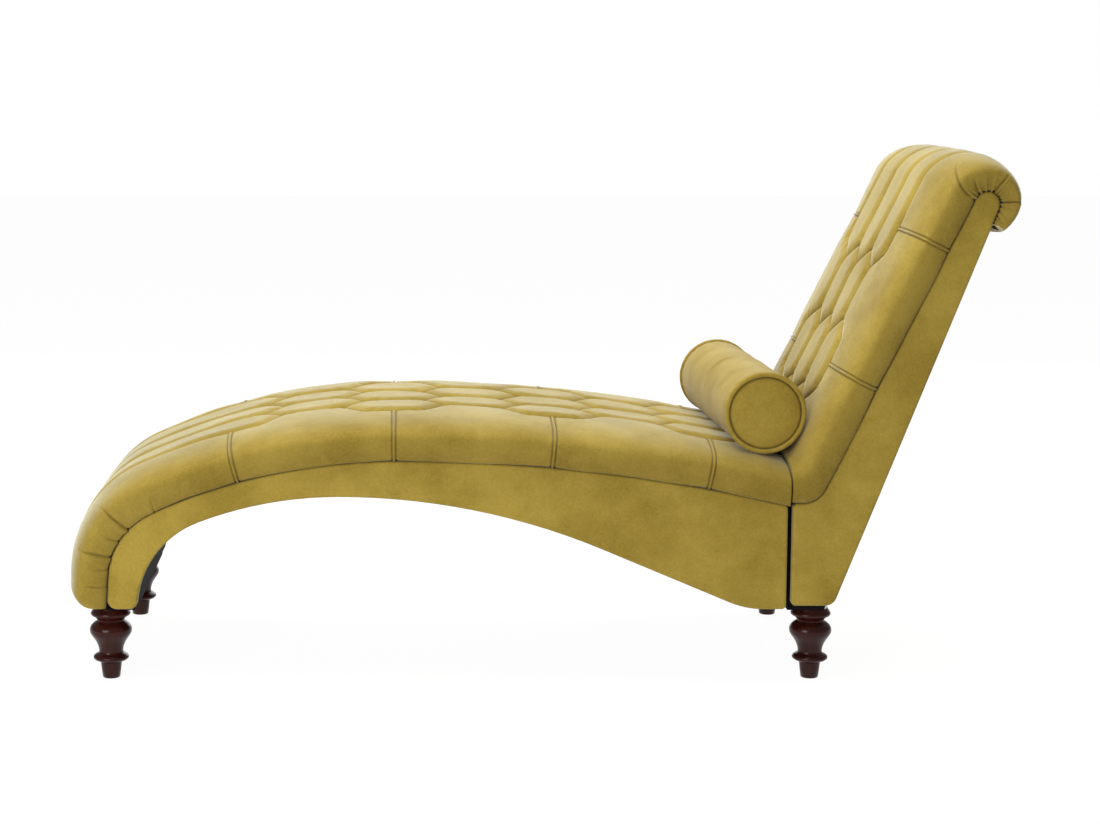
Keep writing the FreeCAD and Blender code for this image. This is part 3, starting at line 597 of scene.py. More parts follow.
def distance_to(line, along, across):
    """Distance from points in the flattened fabric to a polyline."""
    nearest = np.full(along.shape, np.inf)
    for (a0, c0), (a1, c1) in zip(line, line[1:]):
        da, dc = a1 - a0, c1 - c0
        share = ((along - a0) * da + (across - c0) * dc) / (da * da + dc * dc)
        share = np.clip(share, 0, 1)
        away = np.hypot(along - a0 - share * da, across - c0 - share * dc)
        nearest = np.minimum(nearest, away)
    return nearest


def bell(offset, width):
    """1 at no offset, falling off on both sides over the width."""
    return np.exp(-((offset / width) ** 2))


def sunk(lines, along, across):
    """How much of the tuft depth each point sinks, 1 on a sewn line, and how much painted shade it gets
    along the sewn lines.
    """
    total = np.zeros(along.shape)
    shading = np.zeros(along.shape)
    for line, slack in lines:
        distance = distance_to(line, along, across)
        line_shade = 1.0 if slack == 0 else LOOSE_LINE_SHADE
        shading = np.maximum(shading, line_shade * bell(distance, CREASE_SHADE_WIDTH))
        total += np.exp(-(distance + slack) / HOLLOW_SOFTNESS)
    least = np.finfo(float).tiny
    blended = np.clip(-HOLLOW_SOFTNESS * np.log(np.maximum(total, least)), 0, None)
    share = np.clip(blended / sizes().pillow_round, 0, 1)
    return 1 - np.sqrt(1 - (1 - share) ** 2), shading


def tuft_points(lines):
    """Where sewn lines meet, which the sewing pulls deepest."""
    ends = {}
    for line, slack in lines:
        for along, across in (line[0], line[-1]):
            key = (round(along, 4), round(across, 4))
            ends[key] = ends.get(key, 0) + 1
    return [place for place, count in ends.items() if count > 1]


def gathered(points, along, across):
    """Small folds that radiate from the tuft points, and the dimple at each."""
    reach = 50 * MM
    folds = 7
    fold_rise = 1.5 * MM
    fold_start = 4 * MM
    fold_end = 13 * MM
    dimple = 3.0 * MM
    dimple_width = 11 * MM
    height = np.zeros(along.shape)
    for number, (place, side) in enumerate(points):
        da, dc = along - place, across - side
        radius = np.hypot(da, dc)
        near = radius < reach
        angle = np.arctan2(dc[near], da[near])
        fade = np.exp(-radius[near] / fold_end) * (1 - np.exp(-radius[near] / fold_start))
        height[near] += fold_rise * fade * np.sin(folds * angle + 1.7 * number)
        height[near] -= dimple * bell(radius[near], dimple_width)
    return height


def pleat(offset, gap):
    """Height across a double fold, a narrow ridge between two sunk lines, and where its creases get painted
    shade.
    """
    line_width = 1.3 * MM
    line_depth = 3.0 * MM
    ridge_height = 1.6 * MM
    lines = bell(np.abs(offset) - gap / 2, line_width)
    ridge = np.exp(-((offset / (0.5 * gap)) ** 4))
    return ridge_height * ridge - line_depth * lines, lines


def unevenness(along, across, seed):
    """Slow, soft swells, as hand-packed wadding has, from waves of five lengths and headings."""
    shortest = 110 * MM
    longer = 50 * MM
    rise = 0.35 * MM
    height = np.zeros(along.shape)
    for number in range(5):
        angle = 1.9 * number + seed
        wave = 2 * math.pi / (shortest + longer * number)
        phase = 2.3 * number * seed
        height += np.sin(wave * (along * math.cos(angle) + across * math.sin(angle)) + phase)
    return rise * height


class Pad:
    """A tufted pad that follows a side line: its rows, columns and the shape at each of them."""

    # Mesh lines are closer together near sewn lines and pleats
    FINE_COLUMNS = 0.45
    FINE_COLUMN_REACH = 5.0 * MM
    FINE_ROWS = 0.3
    FINE_ROW_REACH = 9.0 * MM
    # Pleats start just inside the outermost sewn line and are full a little further out
    PLEAT_START = -2.0 * MM
    PLEAT_FULL = 8.0 * MM
    # Painted shade in the creases of each pleat
    PLEAT_SHADE = 0.5
    # The band dips at each pleat
    DIP = 1.8 * MM
    DIP_WIDTH = 34.0 * MM
    # Painted shade towards the seam, where the band turns down away from the light, and most of all right
    # beside it
    SEAM_SHADE = 0.28
    SEAM_SHADE_WIDTH = 48.0 * MM
    SEAM_WIDTH = 3.5 * MM
    FOLD_LIP_WIDTH = 4.0 * MM
    # How far past the pad's ends its sewn lines run
    BEYOND = 100.0 * MM

    def __init__(self, rows, lines, pleats):
        self.rows = rows
        self.lines = lines
        self.pleats = pleats
        self.profile = band_profile()
        gap = sizes().tuft_spacing
        reach = self.profile[0][-1]
        fine = [gap * share for share in WIDE_ROW + NARROW_ROW]
        self.columns = spread(-reach, reach, self.FINE_COLUMNS, fine, self.FINE_COLUMN_REACH)
        self.outer = gap * WIDE_ROW[-1]

    def surface(self, stations, heights, along, across):
        """Points of the outer face. stations gives base x, base z and direction for each row."""
        lengths, ys, shares, normals_y, normals_h = self.profile
        place = np.abs(across)
        side = np.sign(across)
        y = np.interp(place, lengths, ys) * side
        height = np.interp(place, lengths, shares) * heights
        out_y = np.interp(place, lengths, normals_y) * side
        out_h = np.interp(place, lengths, normals_h)
        shift, shading = self.relief(along, across)
        y = y + out_y * shift
        height = height + out_h * shift
        base_x, base_z, dir_x, dir_z = stations
        return base_x + height * dir_x, y, base_z + height * dir_z, shading

    def tufting(self, along, across, depth):
        """What both pads share: sewn pillows, pleats across the bands and the seam's shadow."""
        sink, shading = sunk(self.lines, along, across)
        shift = -depth * sink + gathered(tuft_points(self.lines), along, across)
        inner = self.outer + self.PLEAT_START
        full = self.outer + self.PLEAT_FULL
        on_band = eased(np.clip((np.abs(across) - inner) / (full - inner), 0, 1))
        for place in self.pleats:
            offset = along - place
            rise, lines = pleat(offset, sizes().pleat_gap)
            shift += (rise - self.DIP * bell(offset, self.DIP_WIDTH)) * on_band
            shading = np.maximum(shading, self.PLEAT_SHADE * lines * on_band)
        to_seam = self.profile[0][-1] - np.abs(across)
        shade = self.SEAM_SHADE * bell(to_seam, self.SEAM_SHADE_WIDTH)
        shade = np.maximum(shade, bell(to_seam, self.SEAM_WIDTH))
        return shift, np.maximum(shading, shade), to_seam

    def folds(self, shift, shading, here, scale, to_seam):
        """Adds the small folds that leave the seam at one place and end at another, further up, and paints
        shade along each.

        here says where each point is along the seam, in the unit of the folds' places, and scale
        turns that unit into metres.
        """
        for start, end, reach, depth in self.FOLDS:
            place = start + (end - start) * to_seam / (reach * MM)
            offset = (here - place) * scale
            fade = np.clip((reach * MM - to_seam) / (self.FOLD_FADE * reach * MM), 0, 1)
            line = bell(offset, self.FOLD_WIDTH) * fade
            lip = self.FOLD_LIP * bell(offset - self.FOLD_LIP_PLACE, self.FOLD_LIP_WIDTH) * fade
            shift = shift - depth * MM * (line - lip)
            shading = np.maximum(shading, self.FOLD_SHADE * line)
        return shift, shading


class SeatPad(Pad):
    UNDERSIDE = 24.4 * MM
    TUFT_ROWS = 7
    HALF_PITCH = 131.0 * MM
    LAST_ROW_TO_END = 140.0 * MM
    END_GAP = 1.5 * MM
    # The stretch over which the pad turns upright to meet the back
    UPRIGHT = 60.0 * MM
    # The foot's underside, the stretch in which it rolls under, and the pad's height at its lip
    FOOT_UNDERSIDE = 130.0 * MM
    FOOT_ROLL = 26.0 * MM
    FOOT_LIP = 44.0 * MM
    FOOT_MESH_ROWS = 26
    SWELL_SEED = 0.7
    # Folds where the band turns down at the foot, in millimetres along the seam: the places at the
    # seam and at the far end, the reach and the depth
    FOLDS = (
        (144.0, 138.0, 82.0, 4.2),
        (118.0, 112.0, 34.0, 2.4),
        (88.0, 82.0, 76.0, 3.8),
        (66.0, 62.0, 36.0, 1.6),
        (36.0, 36.0, 56.0, 1.4),
        (196.0, 202.0, 40.0, 1.4),
    )
    FOLD_WIDTH = 1.8 * MM
    FOLD_FADE = 0.45
    FOLD_LIP = 0.5
    FOLD_LIP_PLACE = -5.0 * MM
    # Painted shade along each fold
    FOLD_SHADE = 0.4

    def __init__(self):
        self.start = (self.FOOT_UNDERSIDE - SEAT_LINE.z) / math.sin(math.radians(FOOT_HEADING))
        self.end = SEAT_LINE.length - self.END_GAP
        last = SEAT_LINE.length - self.LAST_ROW_TO_END
        rows = [last - self.HALF_PITCH * count for count in reversed(range(self.TUFT_ROWS))]
        pleats = rows[::2]
        lines = sewn_lines(rows, True, self.start - self.BEYOND, self.end + self.BEYOND, 1)
        fine = pleats + [self.start + place * MM for place, end, reach, depth in self.FOLDS]
        places = spread(self.start, self.end, self.FINE_ROWS, fine, self.FINE_ROW_REACH)
        # More rows where the foot rolls under, so that its round edge stays round
        turn = np.linspace(0, math.pi / 2, self.FOOT_MESH_ROWS)
        rolled = self.start + self.FOOT_ROLL * (1 - np.cos(turn))
        super().__init__(np.concatenate([rolled, places[places > rolled[-1] + MM]]), lines, pleats)

    def stations(self, along):
        x, z, heading = SEAT_LINE.at(along)
        dir_x, dir_z = unit(heading)
        share = np.clip((along - (self.end - self.UPRIGHT)) / self.UPRIGHT, 0, 1)
        return x + JOINT_X, z, dir_x * (1 - share), dir_z

    def heights(self, along):
        share = np.clip((along - self.start) / self.FOOT_ROLL, 0, 1)
        rise = np.sqrt(1 - (1 - share) ** 2)
        full = sizes().pillow_height
        return self.FOOT_LIP + (full - self.FOOT_LIP) * rise

    def relief(self, along, across):
        shift, shading, to_seam = self.tufting(along, across, sizes().tuft_depth)
        here = (along - self.start) / MM
        shift, shading = self.folds(shift, shading, here, MM, to_seam)
        return shift + unevenness(along, across, self.SWELL_SEED), shading


class BackPad(Pad):
    UNDERSIDE = 20.4 * MM
    HALF_PITCH = 127.5 * MM
    HEEL_TO_WIDE_ROW = 187.0 * MM
    THINNER_THAN_SEAT = 2.0 * MM
    # It clears the seat by the gap. Its heel fans out to a line from there up to a point that is
    # this far from the joint and this much higher
    GAP = 1.5 * MM
    PIVOT_SHIFT = 6.5 * MM
    PIVOT_DROP = 9.0 * MM
    # The padding's height at the roll's end, how many degrees the tail curls in, and how much
    # thinner it gets there
    ROLL_END = 41.0 * MM
    TAIL_CURL = 44.0
    TAIL_THINNING = 5.0 * MM
    ROLL_MESH_ROWS = 170
    # Share by which the tufts are shallower at the roll's end
    SHALLOWER = 0.55
    # Past the tail's middle the cover turns in over the deck's end, as a flap
    FLAP_OVERRUN = 1.5 * MM
    FLAP_HEIGHT = 5.0 * MM
    SWELL_SEED = 1.9
    # Folds round the roll, in shares of its turn: the places at the seam and at the far end, then
    # the reach and the depth in millimetres
    FOLDS = (
        (-0.05, 0.17, 100.0, 3.2),
        (0.12, 0.2, 44.0, 2.0),
        (0.5, 0.56, 62.0, 3.0),
        (0.83, 0.86, 76.0, 2.4),
    )
    FOLD_WIDTH = 1.7 * MM
    FOLD_FADE = 0.4
    FOLD_LIP = 0.4
    FOLD_LIP_PLACE = 4.5 * MM
    # Painted shade along each fold
    FOLD_SHADE = 0.6
    # Share of the distance from the seam by which the radius of the band's arc grows
    ARC_GROWTH = 0.5
    # Gathers along the seam: where they start and are full, in shares of the turn, their size and the
    # painted shade in their hollows
    GATHER_START = -0.1
    GATHER_FULL = 0.05
    GATHER_REACH = 14.0 * MM
    GATHER_RISE = 1.5 * MM
    GATHER_SHADE = 0.6

    def __init__(self):
        self.full = sizes().pillow_height - self.THINNER_THAN_SEAT
        line_x, _, heading = (float(v) for v in BACK_LINE.at(np.array(BACK_STRAIGHT)))
        out_x, out_z = unit(heading)
        rise = (self.PIVOT_SHIFT - line_x - self.full * out_x) / math.cos(math.radians(heading))
        self.line_start = BACK_STRAIGHT + rise
        base_x, base_z, _ = BACK_LINE.at(np.array(self.line_start))
        self.pivot = (float(base_x + self.full * out_x), float(base_z + self.full * out_z))
        self.start = OVERRUN + self.GAP
        self.lip = BACK_TAIL + ROLL_TAIL / 2
        self.end = BACK_LINE.length + self.FLAP_OVERRUN
        first = BACK_STRAIGHT + self.HEEL_TO_WIDE_ROW
        rows = [first + self.HALF_PITCH * count for count in range(-1, 3)]
        pleats = rows[1::2]
        lines = sewn_lines(rows, False, self.start - self.BEYOND, self.end + self.BEYOND, -1)
        places = spread(self.start, BACK_ROLL, self.FINE_ROWS, pleats, self.FINE_ROW_REACH)
        rolled = np.linspace(BACK_ROLL, self.end, self.ROLL_MESH_ROWS)
        super().__init__(np.concatenate([places[:-1], rolled]), lines, pleats)

    def stations(self, along):
        x, z, dir_x, dir_z, reach = self.sections(along)
        return x + JOINT_X, z, dir_x, dir_z

    def heights(self, along):
        return self.sections(along)[-1]

    def flap_point(self, distance, curl, height):
        """A point of the cover over the tail, at a distance along the back's line."""
        x, z, heading = BACK_LINE.at(np.array(distance))
        out_x, out_z = unit(heading - curl)
        return x + height * out_x, z + height * out_z

    def sections(self, along):
        """Base place, direction and height of the pad's section at each place along its line."""
        x, z, heading = BACK_LINE.at(along)
        tail = np.clip((along - BACK_TAIL) / (self.lip - BACK_TAIL), 0, 1)
        wound = np.clip((along - BACK_ROLL) / (BACK_TAIL - BACK_ROLL), 0, 1)
        dir_x, dir_z = unit(heading - self.TAIL_CURL * tail)
        reach = self.full + (self.ROLL_END - self.full) * wound - self.TAIL_THINNING * tail
        # The heel fans out to a line of its own
        share = np.clip((along - self.start) / (self.line_start - self.start), 0, 1)
        heel = (
            self.GAP + (self.pivot[0] - self.GAP) * share,
            self.pivot[1] - self.PIVOT_DROP * (1 - share),
        )
        past = np.clip((along - self.lip) / (self.end - self.lip), 0, 1)
        lip = self.flap_point(self.lip, self.TAIL_CURL, self.ROLL_END - self.TAIL_THINNING)
        inner = self.flap_point(self.end, 0.0, self.FLAP_HEIGHT)
        flap = [begin * (1 - past) + finish * past for begin, finish in zip(lip, inner)]
        for there, (to_x, to_z) in ((along < self.line_start, heel), (along > self.lip, flap)):
            across = np.hypot(to_x - x, to_z - z)
            dir_x = np.where(there, (to_x - x) / across, dir_x)
            dir_z = np.where(there, (to_z - z) / across, dir_z)
            reach = np.where(there, across, reach)
        return x, z, dir_x, dir_z, reach

    def relief(self, along, across):
        turned = (along - BACK_ROLL) / (BACK_TAIL - BACK_ROLL)
        depth = sizes().tuft_depth * (1 - self.SHALLOWER * np.clip(turned, 0, 1))
        shift, shading, to_seam = self.tufting(along, across, depth)
        arc = (ROLL_CORE + self.ARC_GROWTH * to_seam) * math.radians(ROLL_TURN)
        shift, shading = self.folds(shift, shading, turned, arc, to_seam)
        gathers, lines = self.roll_gathers(to_seam, turned)
        shading = np.maximum(shading, lines)
        return shift + gathers + unevenness(along, across, self.SWELL_SEED), shading

    def roll_gathers(self, to_seam, turned):
        """Small folds that fan out from the seam where the band turns over the roll, with painted shade in
        their hollows.
        """
        turning = (turned - self.GATHER_START) / (self.GATHER_FULL - self.GATHER_START)
        angle = turned * math.radians(ROLL_TURN)
        uneven = 0.5 + 0.5 * np.sin(5 * angle + 1.0)
        fade = np.exp(-to_seam / (self.GATHER_REACH * (1 + uneven))) * np.clip(turning, 0, 1)
        ripple = np.sin(21 * angle + 2 * np.sin(3 * angle)) + 0.5 * np.sin(34 * angle)
        hollow_shade = np.clip(-ripple, 0, 1) ** 2
        return self.GATHER_RISE * fade * ripple, self.GATHER_SHADE * fade * hollow_shade


# How the loose bolster lies: shares of its turn and of its swing by which it rolls and climbs
BOLSTER_ROLL = -0.14
BOLSTER_CLIMB = 0.1
# The pads' dent clears the bolster by a little and runs a little past its ends
DENT_CLEARANCE = 0.8 * MM
DENT_OVERRUN = 6.0 * MM


def bolster_place():
    """Where the loose bolster lies: sunk a little into the pads and slightly out of square."""
    low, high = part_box("bolster_cover")
    turn = sizes().bolster_turn
    swing = (high.y - low.y) / 2 * math.sin(turn)
    shift = Vector((-swing, 0, BOLSTER_CLIMB * swing - sizes().bolster_sink))
    turned = Matrix.Rotation(turn, 4, "Z") @ Matrix.Rotation(BOLSTER_ROLL * turn, 4, "Y")
    return Matrix.Translation((low + high) / 2 + shift) @ turned


def pressed(x, y, z):
    """Pushes points of a pad out of the bolster, where its weight dents the padding."""
    place = bolster_place()
    centre = np.array(place.translation)
    axis = np.array(place.to_3x3() @ Vector((0, 1, 0)))
    low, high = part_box("bolster_cover")
    radius = (high.z - low.z) / 2 + DENT_CLEARANCE
    offset = np.column_stack([x, y, z]) - centre
    along = offset @ axis
    away = offset - along[:, None] * axis
    distance = np.maximum(np.linalg.norm(away, axis=1), MM)
    inside = (distance < radius) & (np.abs(along) < (high.y - low.y) / 2 + DENT_OVERRUN)
    push = np.where(inside, radius / distance - 1, 0)
    return x + push * away[:, 0], z + push * away[:, 2]


# Mesh lines of each side's rim and underside, and the rim's gap to the seam's line
RIM_LINES = 3
RIM_GAP = 0.4 * MM


def pad_mesh(pad):
    """A grid wrapped round the pad: its outer face, its rims on the panels, and its underside."""
    columns = pad.columns
    count = len(columns) + 2 * RIM_LINES
    bm = bmesh.new()
    bmesh.ops.create_grid(bm, x_segments=len(pad.rows) - 1, y_segments=count - 1, size=1)
    mesh = bpy.data.meshes.new("wrap")
    bm.to_mesh(mesh)
    bm.free()
    places = np.zeros(len(mesh.vertices) * 3)
    mesh.vertices.foreach_get("co", places)
    places = places.reshape(-1, 3)
    row = np.round((places[:, 0] + 1) / 2 * (len(pad.rows) - 1)).astype(int)
    column = np.round((places[:, 1] + 1) / 2 * (count - 1)).astype(int)
    along = pad.rows[row]
    stations = pad.stations(along)
    heights = pad.heights(along)
    across = columns[np.clip(column - RIM_LINES, 0, len(columns) - 1)]
    x, y, z, shading = pad.surface(stations, heights, along, across)
    x, z = pressed(x, y, z)
    inside = np.minimum(pad.UNDERSIDE, heights - MM)
    low = np.full(along.shape, RIM_GAP)
    rims = ((0, 0.0, inside), (1, -DECK_HALF, inside), (2, -DECK_HALF, low))
    for number, rim_y, rise in rims:
        for index, side in ((number, 1), (count - 1 - number, -1)):
            there = column == index
            x[there] = (stations[0] + rise * stations[2])[there]
            z[there] = (stations[1] + rise * stations[3])[there]
            y[there] = rim_y * side
    mesh.vertices.foreach_set("co", np.column_stack([x, y, z]).ravel())
    # Stores the painted shade on the points, for the velvet to read
    mesh.attributes.new(SHADE_ATTRIBUTE, "FLOAT", "POINT").data.foreach_set("value", shading)
    bm = bmesh.new()
    bm.from_mesh(mesh)
    bpy.data.meshes.remove(mesh)
    middle = [v for v in bm.verts if abs(v.co.y) < ON_AXIS and len(v.link_faces) < 3]
    bmesh.ops.remove_doubles(bm, verts=middle, dist=SAME_POINT)
    rim = [edge for edge in bm.edges if edge.is_boundary]
    caps = bmesh.ops.holes_fill(bm, edges=rim, sides=0)["faces"]
    bmesh.ops.triangulate(bm, faces=caps)
    return bm


class CHAISE_OT_seat_pad(bpy.types.Operator):
    """Make the seat's tufted velvet pad"""

    bl_idname = "chaise.seat_pad"
    bl_label = "Seat pad"

    def execute(self, context):
        bm = pad_mesh(SeatPad())
        piece = new_piece("seat_cushion", bm, finish_of(velvet), "chaise")
        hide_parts("seat_pad")
        return {"FINISHED"}


class CHAISE_OT_back_pad(bpy.types.Operator):
    """Make the back's tufted velvet pad with its roll"""

    bl_idname = "chaise.back_pad"
    bl_label = "Back pad"

    def execute(self, context):
        bm = pad_mesh(BackPad())
        piece = new_piece("back_cushion", bm, finish_of(velvet), "chaise")
        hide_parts("back_pad")
        return {"FINISHED"}


# Side panels and outside back


def upholstered_panel(node, outer_y):
    """A CAD panel's own outline with a rounded outer rim."""
    bm = node_copy(node)
    rim = [e for e in bm.edges if all(abs(v.co.y - outer_y) < SAME_POINT for v in e.verts)]
    bmesh.ops.bevel(
        bm,
        geom=rim,
        offset=sizes().panel_rounding,
        offset_type="OFFSET",
        segments=5,
        profile=0.5,
        affect="EDGES",
        material=-1,
        clamp_overlap=True,
    )
    return bm


class CHAISE_OT_side_panels(bpy.types.Operator):
    """Cover the side panels of the seat and the back"""

    bl_idname = "chaise.side_panels"
    bl_label = "Side panels"

    def execute(self, context):
        cloth = finish_of(velvet)
        for module in ("seat", "back"):
            for side, outer_y in (("near", -BODY_HALF), ("far", BODY_HALF)):
                node = module + "_side_panel_" + side
                bm = upholstered_panel(node, outer_y)
                name = module + "_side_" + side
                piece = new_piece(name, bm, cloth, "chaise", math.radians(40))
                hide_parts(node)
        return {"FINISHED"}


class CHAISE_OT_outside_back(bpy.types.Operator):
    """Cover the outside of the back"""

    bl_idname = "chaise.outside_back"
    bl_label = "Outside back"

    # The stretch at the top that runs on up behind the roll, and how far it runs
    TOP_EDGE = 12.0 * MM
    TUCK = 17.0 * MM
    # The padding's swell in the middle, and how soon it is reached from the edges
    SWELL = 5.0 * MM
    SWELL_POWER = 0.4
    FACING = 0.6
    CUTS = 28

    def execute(self, context):
        bm = node_copy("back_rear_panel")
        bmesh.ops.subdivide_edges(bm, edges=bm.edges, cuts=self.CUTS, use_grid_fill=True)
        low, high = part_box("back_rear_panel")
        out_x, out_z = unit(REAR_HEADING)
        outer = [v for v in bm.verts if v.normal.x * out_x + v.normal.z * out_z > self.FACING]
        up = math.radians(REAR_HEADING + 180)
        for vert in bm.verts:
            if vert.co.z > high.z - self.TOP_EDGE:
                vert.co.x += self.TUCK * math.cos(up)
                vert.co.z += self.TUCK * math.sin(up)
        for vert in outer:
            across = self.from_edges(vert.co.y, low.y, high.y)
            upwards = self.from_edges(vert.co.z, low.z, high.z)
            swell = self.SWELL * across**self.SWELL_POWER * upwards**self.SWELL_POWER
            vert.co.x += swell * out_x
            vert.co.z += swell * out_z
        piece = new_piece(
            "outside_back", bm, finish_of(velvet), "chaise", math.radians(50)
        )
        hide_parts("back_rear_panel")
        return {"FINISHED"}

    def from_edges(self, place, low, high):
        """1 midway between two edges, falling to 0 at each."""
        return max(0, 1 - (2 * (place - low) / (high - low) - 1) ** 2)


# Legs


# Radius and height, in millimetres: foot, cone, lower ring, waist, belly, neck and collar
LEG_PROFILE = (
    (0.0, 0.0), (13.4, 0.0), (14.8, 1.4), (16.4, 14.0), (17.9, 27.0), (21.0, 28.6), (26.6, 30.8),
    (29.4, 33.2), (30.0, 35.4), (29.2, 37.8), (26.0, 40.2), (21.6, 42.2), (20.6, 44.0),
    (20.3, 47.0), (20.8, 51.0), (22.2, 56.0), (24.8, 62.0), (28.6, 68.0), (32.2, 73.0),
    (34.8, 77.6), (35.5, 82.0), (34.9, 86.4), (32.6, 90.6), (28.6, 94.4), (24.6, 97.0),
    (23.0, 98.6), (23.2, 100.4), (25.0, 103.0), (28.6, 105.8), (32.2, 107.8), (33.5, 109.8),
    (33.5, 112.2), (32.2, 114.2), (30.0, 117.6), (28.8, 120.6), (28.5, 121.9), (0.0, 121.9),
)


class CHAISE_OT_legs(bpy.types.Operator):
    """Turn the four legs"""

    bl_idname = "chaise.legs"
    bl_label = "Turned legs"

    def execute(self, context):
        low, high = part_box("turned_legs")
        belly = max(radius for radius, height in LEG_PROFILE) * MM
        profile = [(radius * MM, height * MM) for radius, height in LEG_PROFILE]
        wood = finish_of(mahogany)
        for end, x in (("foot", low.x + belly), ("back", high.x - belly)):
            for side, y in (("near", low.y + belly), ("far", high.y - belly)):
                centre = Vector((x, y, 0))
                bm = lathe(profile, sizes().leg_facets, Vector((0, 0, 1)), centre)
                name = end + "_leg_" + side
                piece = new_piece(name, bm, wood, "chaise", math.radians(50))
                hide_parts("turned_legs")
        return {"FINISHED"}


# Bolster


class CHAISE_OT_bolster(bpy.types.Operator):
    """Make the loose bolster with its piped ends"""

    bl_idname = "chaise.bolster"
    bl_label = "Bolster"

    ROWS = 190
    END_RINGS = 16
    STEPS = 260
    RADIUS = 67.0 * MM
    SEAM_RADIUS = 64.0 * MM
    END_SWELL = 4.0 * MM
    # The end's edge turns in beside the piping: points this far in from the seam and from the end
    EDGE = ((1.5 * MM, 0.4 * MM), (0.0, 1.2 * MM))
    # The cover's outermost line in from the end, and the stretch in which it draws in to the seam
    COVER_INSET = 2.0 * MM
    SHOULDER = 26.0 * MM
    # Where the lines of painted shade beside the piping lie on the end and on the cover, and their half
    # widths
    END_LINE = 3.2 * MM
    END_LINE_WIDTH = 2.0 * MM
    COVER_LINE = 5.2 * MM
    COVER_LINE_WIDTH = 2.2 * MM
    LINE_SHADE = 0.8
    # Puckers round each end, and slow waves along the cover
    PUCKERS = 27
    PUCKER_REACH = 13.0 * MM
    COVER_PUCKER = 0.7 * MM
    END_PUCKER = 1.1 * MM
    END_SINK = 1.6 * MM
    PUCKERED_END = 0.3
    WAVE = 0.8 * MM
    # No puckers this near to the middle of an end, and the cover's begin this far inside the seam
    SMOOTH_MIDDLE = 5.0 * MM
    SEAM_MARGIN = 0.5 * MM
    # How far the piping's middle lies out from the seam and past the end
    PIPING_OUT = 1.0 * MM
    PIPING_PAST = 0.6 * MM
    PIPING_STEPS = 240
    PIPING_FACETS = 14
    CORE_RADIUS = 56.0 * MM
    CORE_STEPS = 64
    CORE_EDGE = 0.6

    def execute(self, context):
        low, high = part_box("bolster_cover")
        half = (high.y - low.y) / 2
        place = bolster_place()
        cloth = finish_of(shaded_bolster_velvet)
        axis = Vector((0, 1, 0))
        origin = Vector((0, 0, 0))
        body = lathe(self.outline(half), self.STEPS, axis, origin)
        # A point layer of painted shade beside the piping
        shading = body.verts.layers.float.new(SHADE_ATTRIBUTE)
        for vert in body.verts:
            vert[shading] = self.seam_shade(vert, half)
            self.wrinkle(vert, half)
        body.transform(place)
        piece = new_piece("bolster", body, cloth, "bolster")
        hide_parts("bolster_cover", "bolster_ends")
        for side, name in ((-1, "near"), (1, "far")):
            cord = self.piping(half, side)
            cord.transform(place)
            ring = new_piece("bolster_piping_" + name, cord, cloth, "bolster")
            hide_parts("bolster_piping")
        inner = [(0.0, -half), (self.CORE_RADIUS, -half), (self.CORE_RADIUS, half), (0.0, half)]
        core = lathe(inner, self.CORE_STEPS, axis, origin)
        core.transform(place)
        fibre = finish_of(wadding)
        fill = new_piece("bolster_wadding", core, fibre, "bolster", self.CORE_EDGE)
        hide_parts("bolster_filling")
        return {"FINISHED"}

    def outline(self, half):
        """From the middle of one end, round the seam, along the cover and in to the other end."""
        shares = [ring / self.END_RINGS for ring in range(self.END_RINGS)]
        end = [(self.SEAM_RADIUS * s, half + self.END_SWELL * (1 - s**4)) for s in shares]
        edge = [(self.SEAM_RADIUS - inward, half - down) for inward, down in self.EDGE]
        cover = []
        for number in range(self.ROWS):
            y = (half - self.COVER_INSET) * math.cos(math.pi * number / (self.ROWS - 1))
            level = (half - abs(y)) / self.SHOULDER
            drawn = (self.RADIUS - self.SEAM_RADIUS) * max(0.0, 1 - level) ** 2
            cover.append((self.RADIUS - drawn, y))
        mirrored = [(radius, -y) for radius, y in reversed(end + edge)]
        return end + edge + cover + mirrored

    def seam_shade(self, vert, half):
        """How much painted shade the pile gets beside the piping, on the end and on the cover."""
        radius = math.hypot(vert.co.x, vert.co.z)
        on_end = bell(self.SEAM_RADIUS - self.END_LINE - radius, self.END_LINE_WIDTH)
        on_cover = bell(half - abs(vert.co.y) - self.COVER_LINE, self.COVER_LINE_WIDTH)
        return self.LINE_SHADE * max(on_end, on_cover)

    def wrinkle(self, vert, half):
        """Puckers at the seams and slow waves along the cover."""
        radius = math.hypot(vert.co.x, vert.co.z)
        if radius < self.SMOOTH_MIDDLE:
            return
        angle = math.atan2(vert.co.z, vert.co.x)
        side = 1 if vert.co.y > 0 else -1
        puckers = math.sin(self.PUCKERS * angle + 2.2 * math.sin(5 * angle) + side)
        if radius > self.SEAM_RADIUS - self.SEAM_MARGIN:
            fade = math.exp(-max(0.0, half - abs(vert.co.y)) / self.PUCKER_REACH)
            slow = math.sin(3 * angle + 16 * vert.co.y + side) * math.sin(21 * vert.co.y + 1.0)
            swell = self.COVER_PUCKER * puckers * fade + self.WAVE * slow * (1 - fade)
            scale = (radius + swell) / radius
            vert.co.x *= scale
            vert.co.z *= scale
        else:
            share = radius / self.SEAM_RADIUS
            fade = max(0.0, share - (1 - self.PUCKERED_END)) / self.PUCKERED_END
            uneven = 0.6 + 0.4 * math.sin(4 * angle + side)
            rise = self.END_PUCKER * uneven * puckers * fade * (1 - fade)
            vert.co.y += side * (rise - self.END_SINK * fade**4)

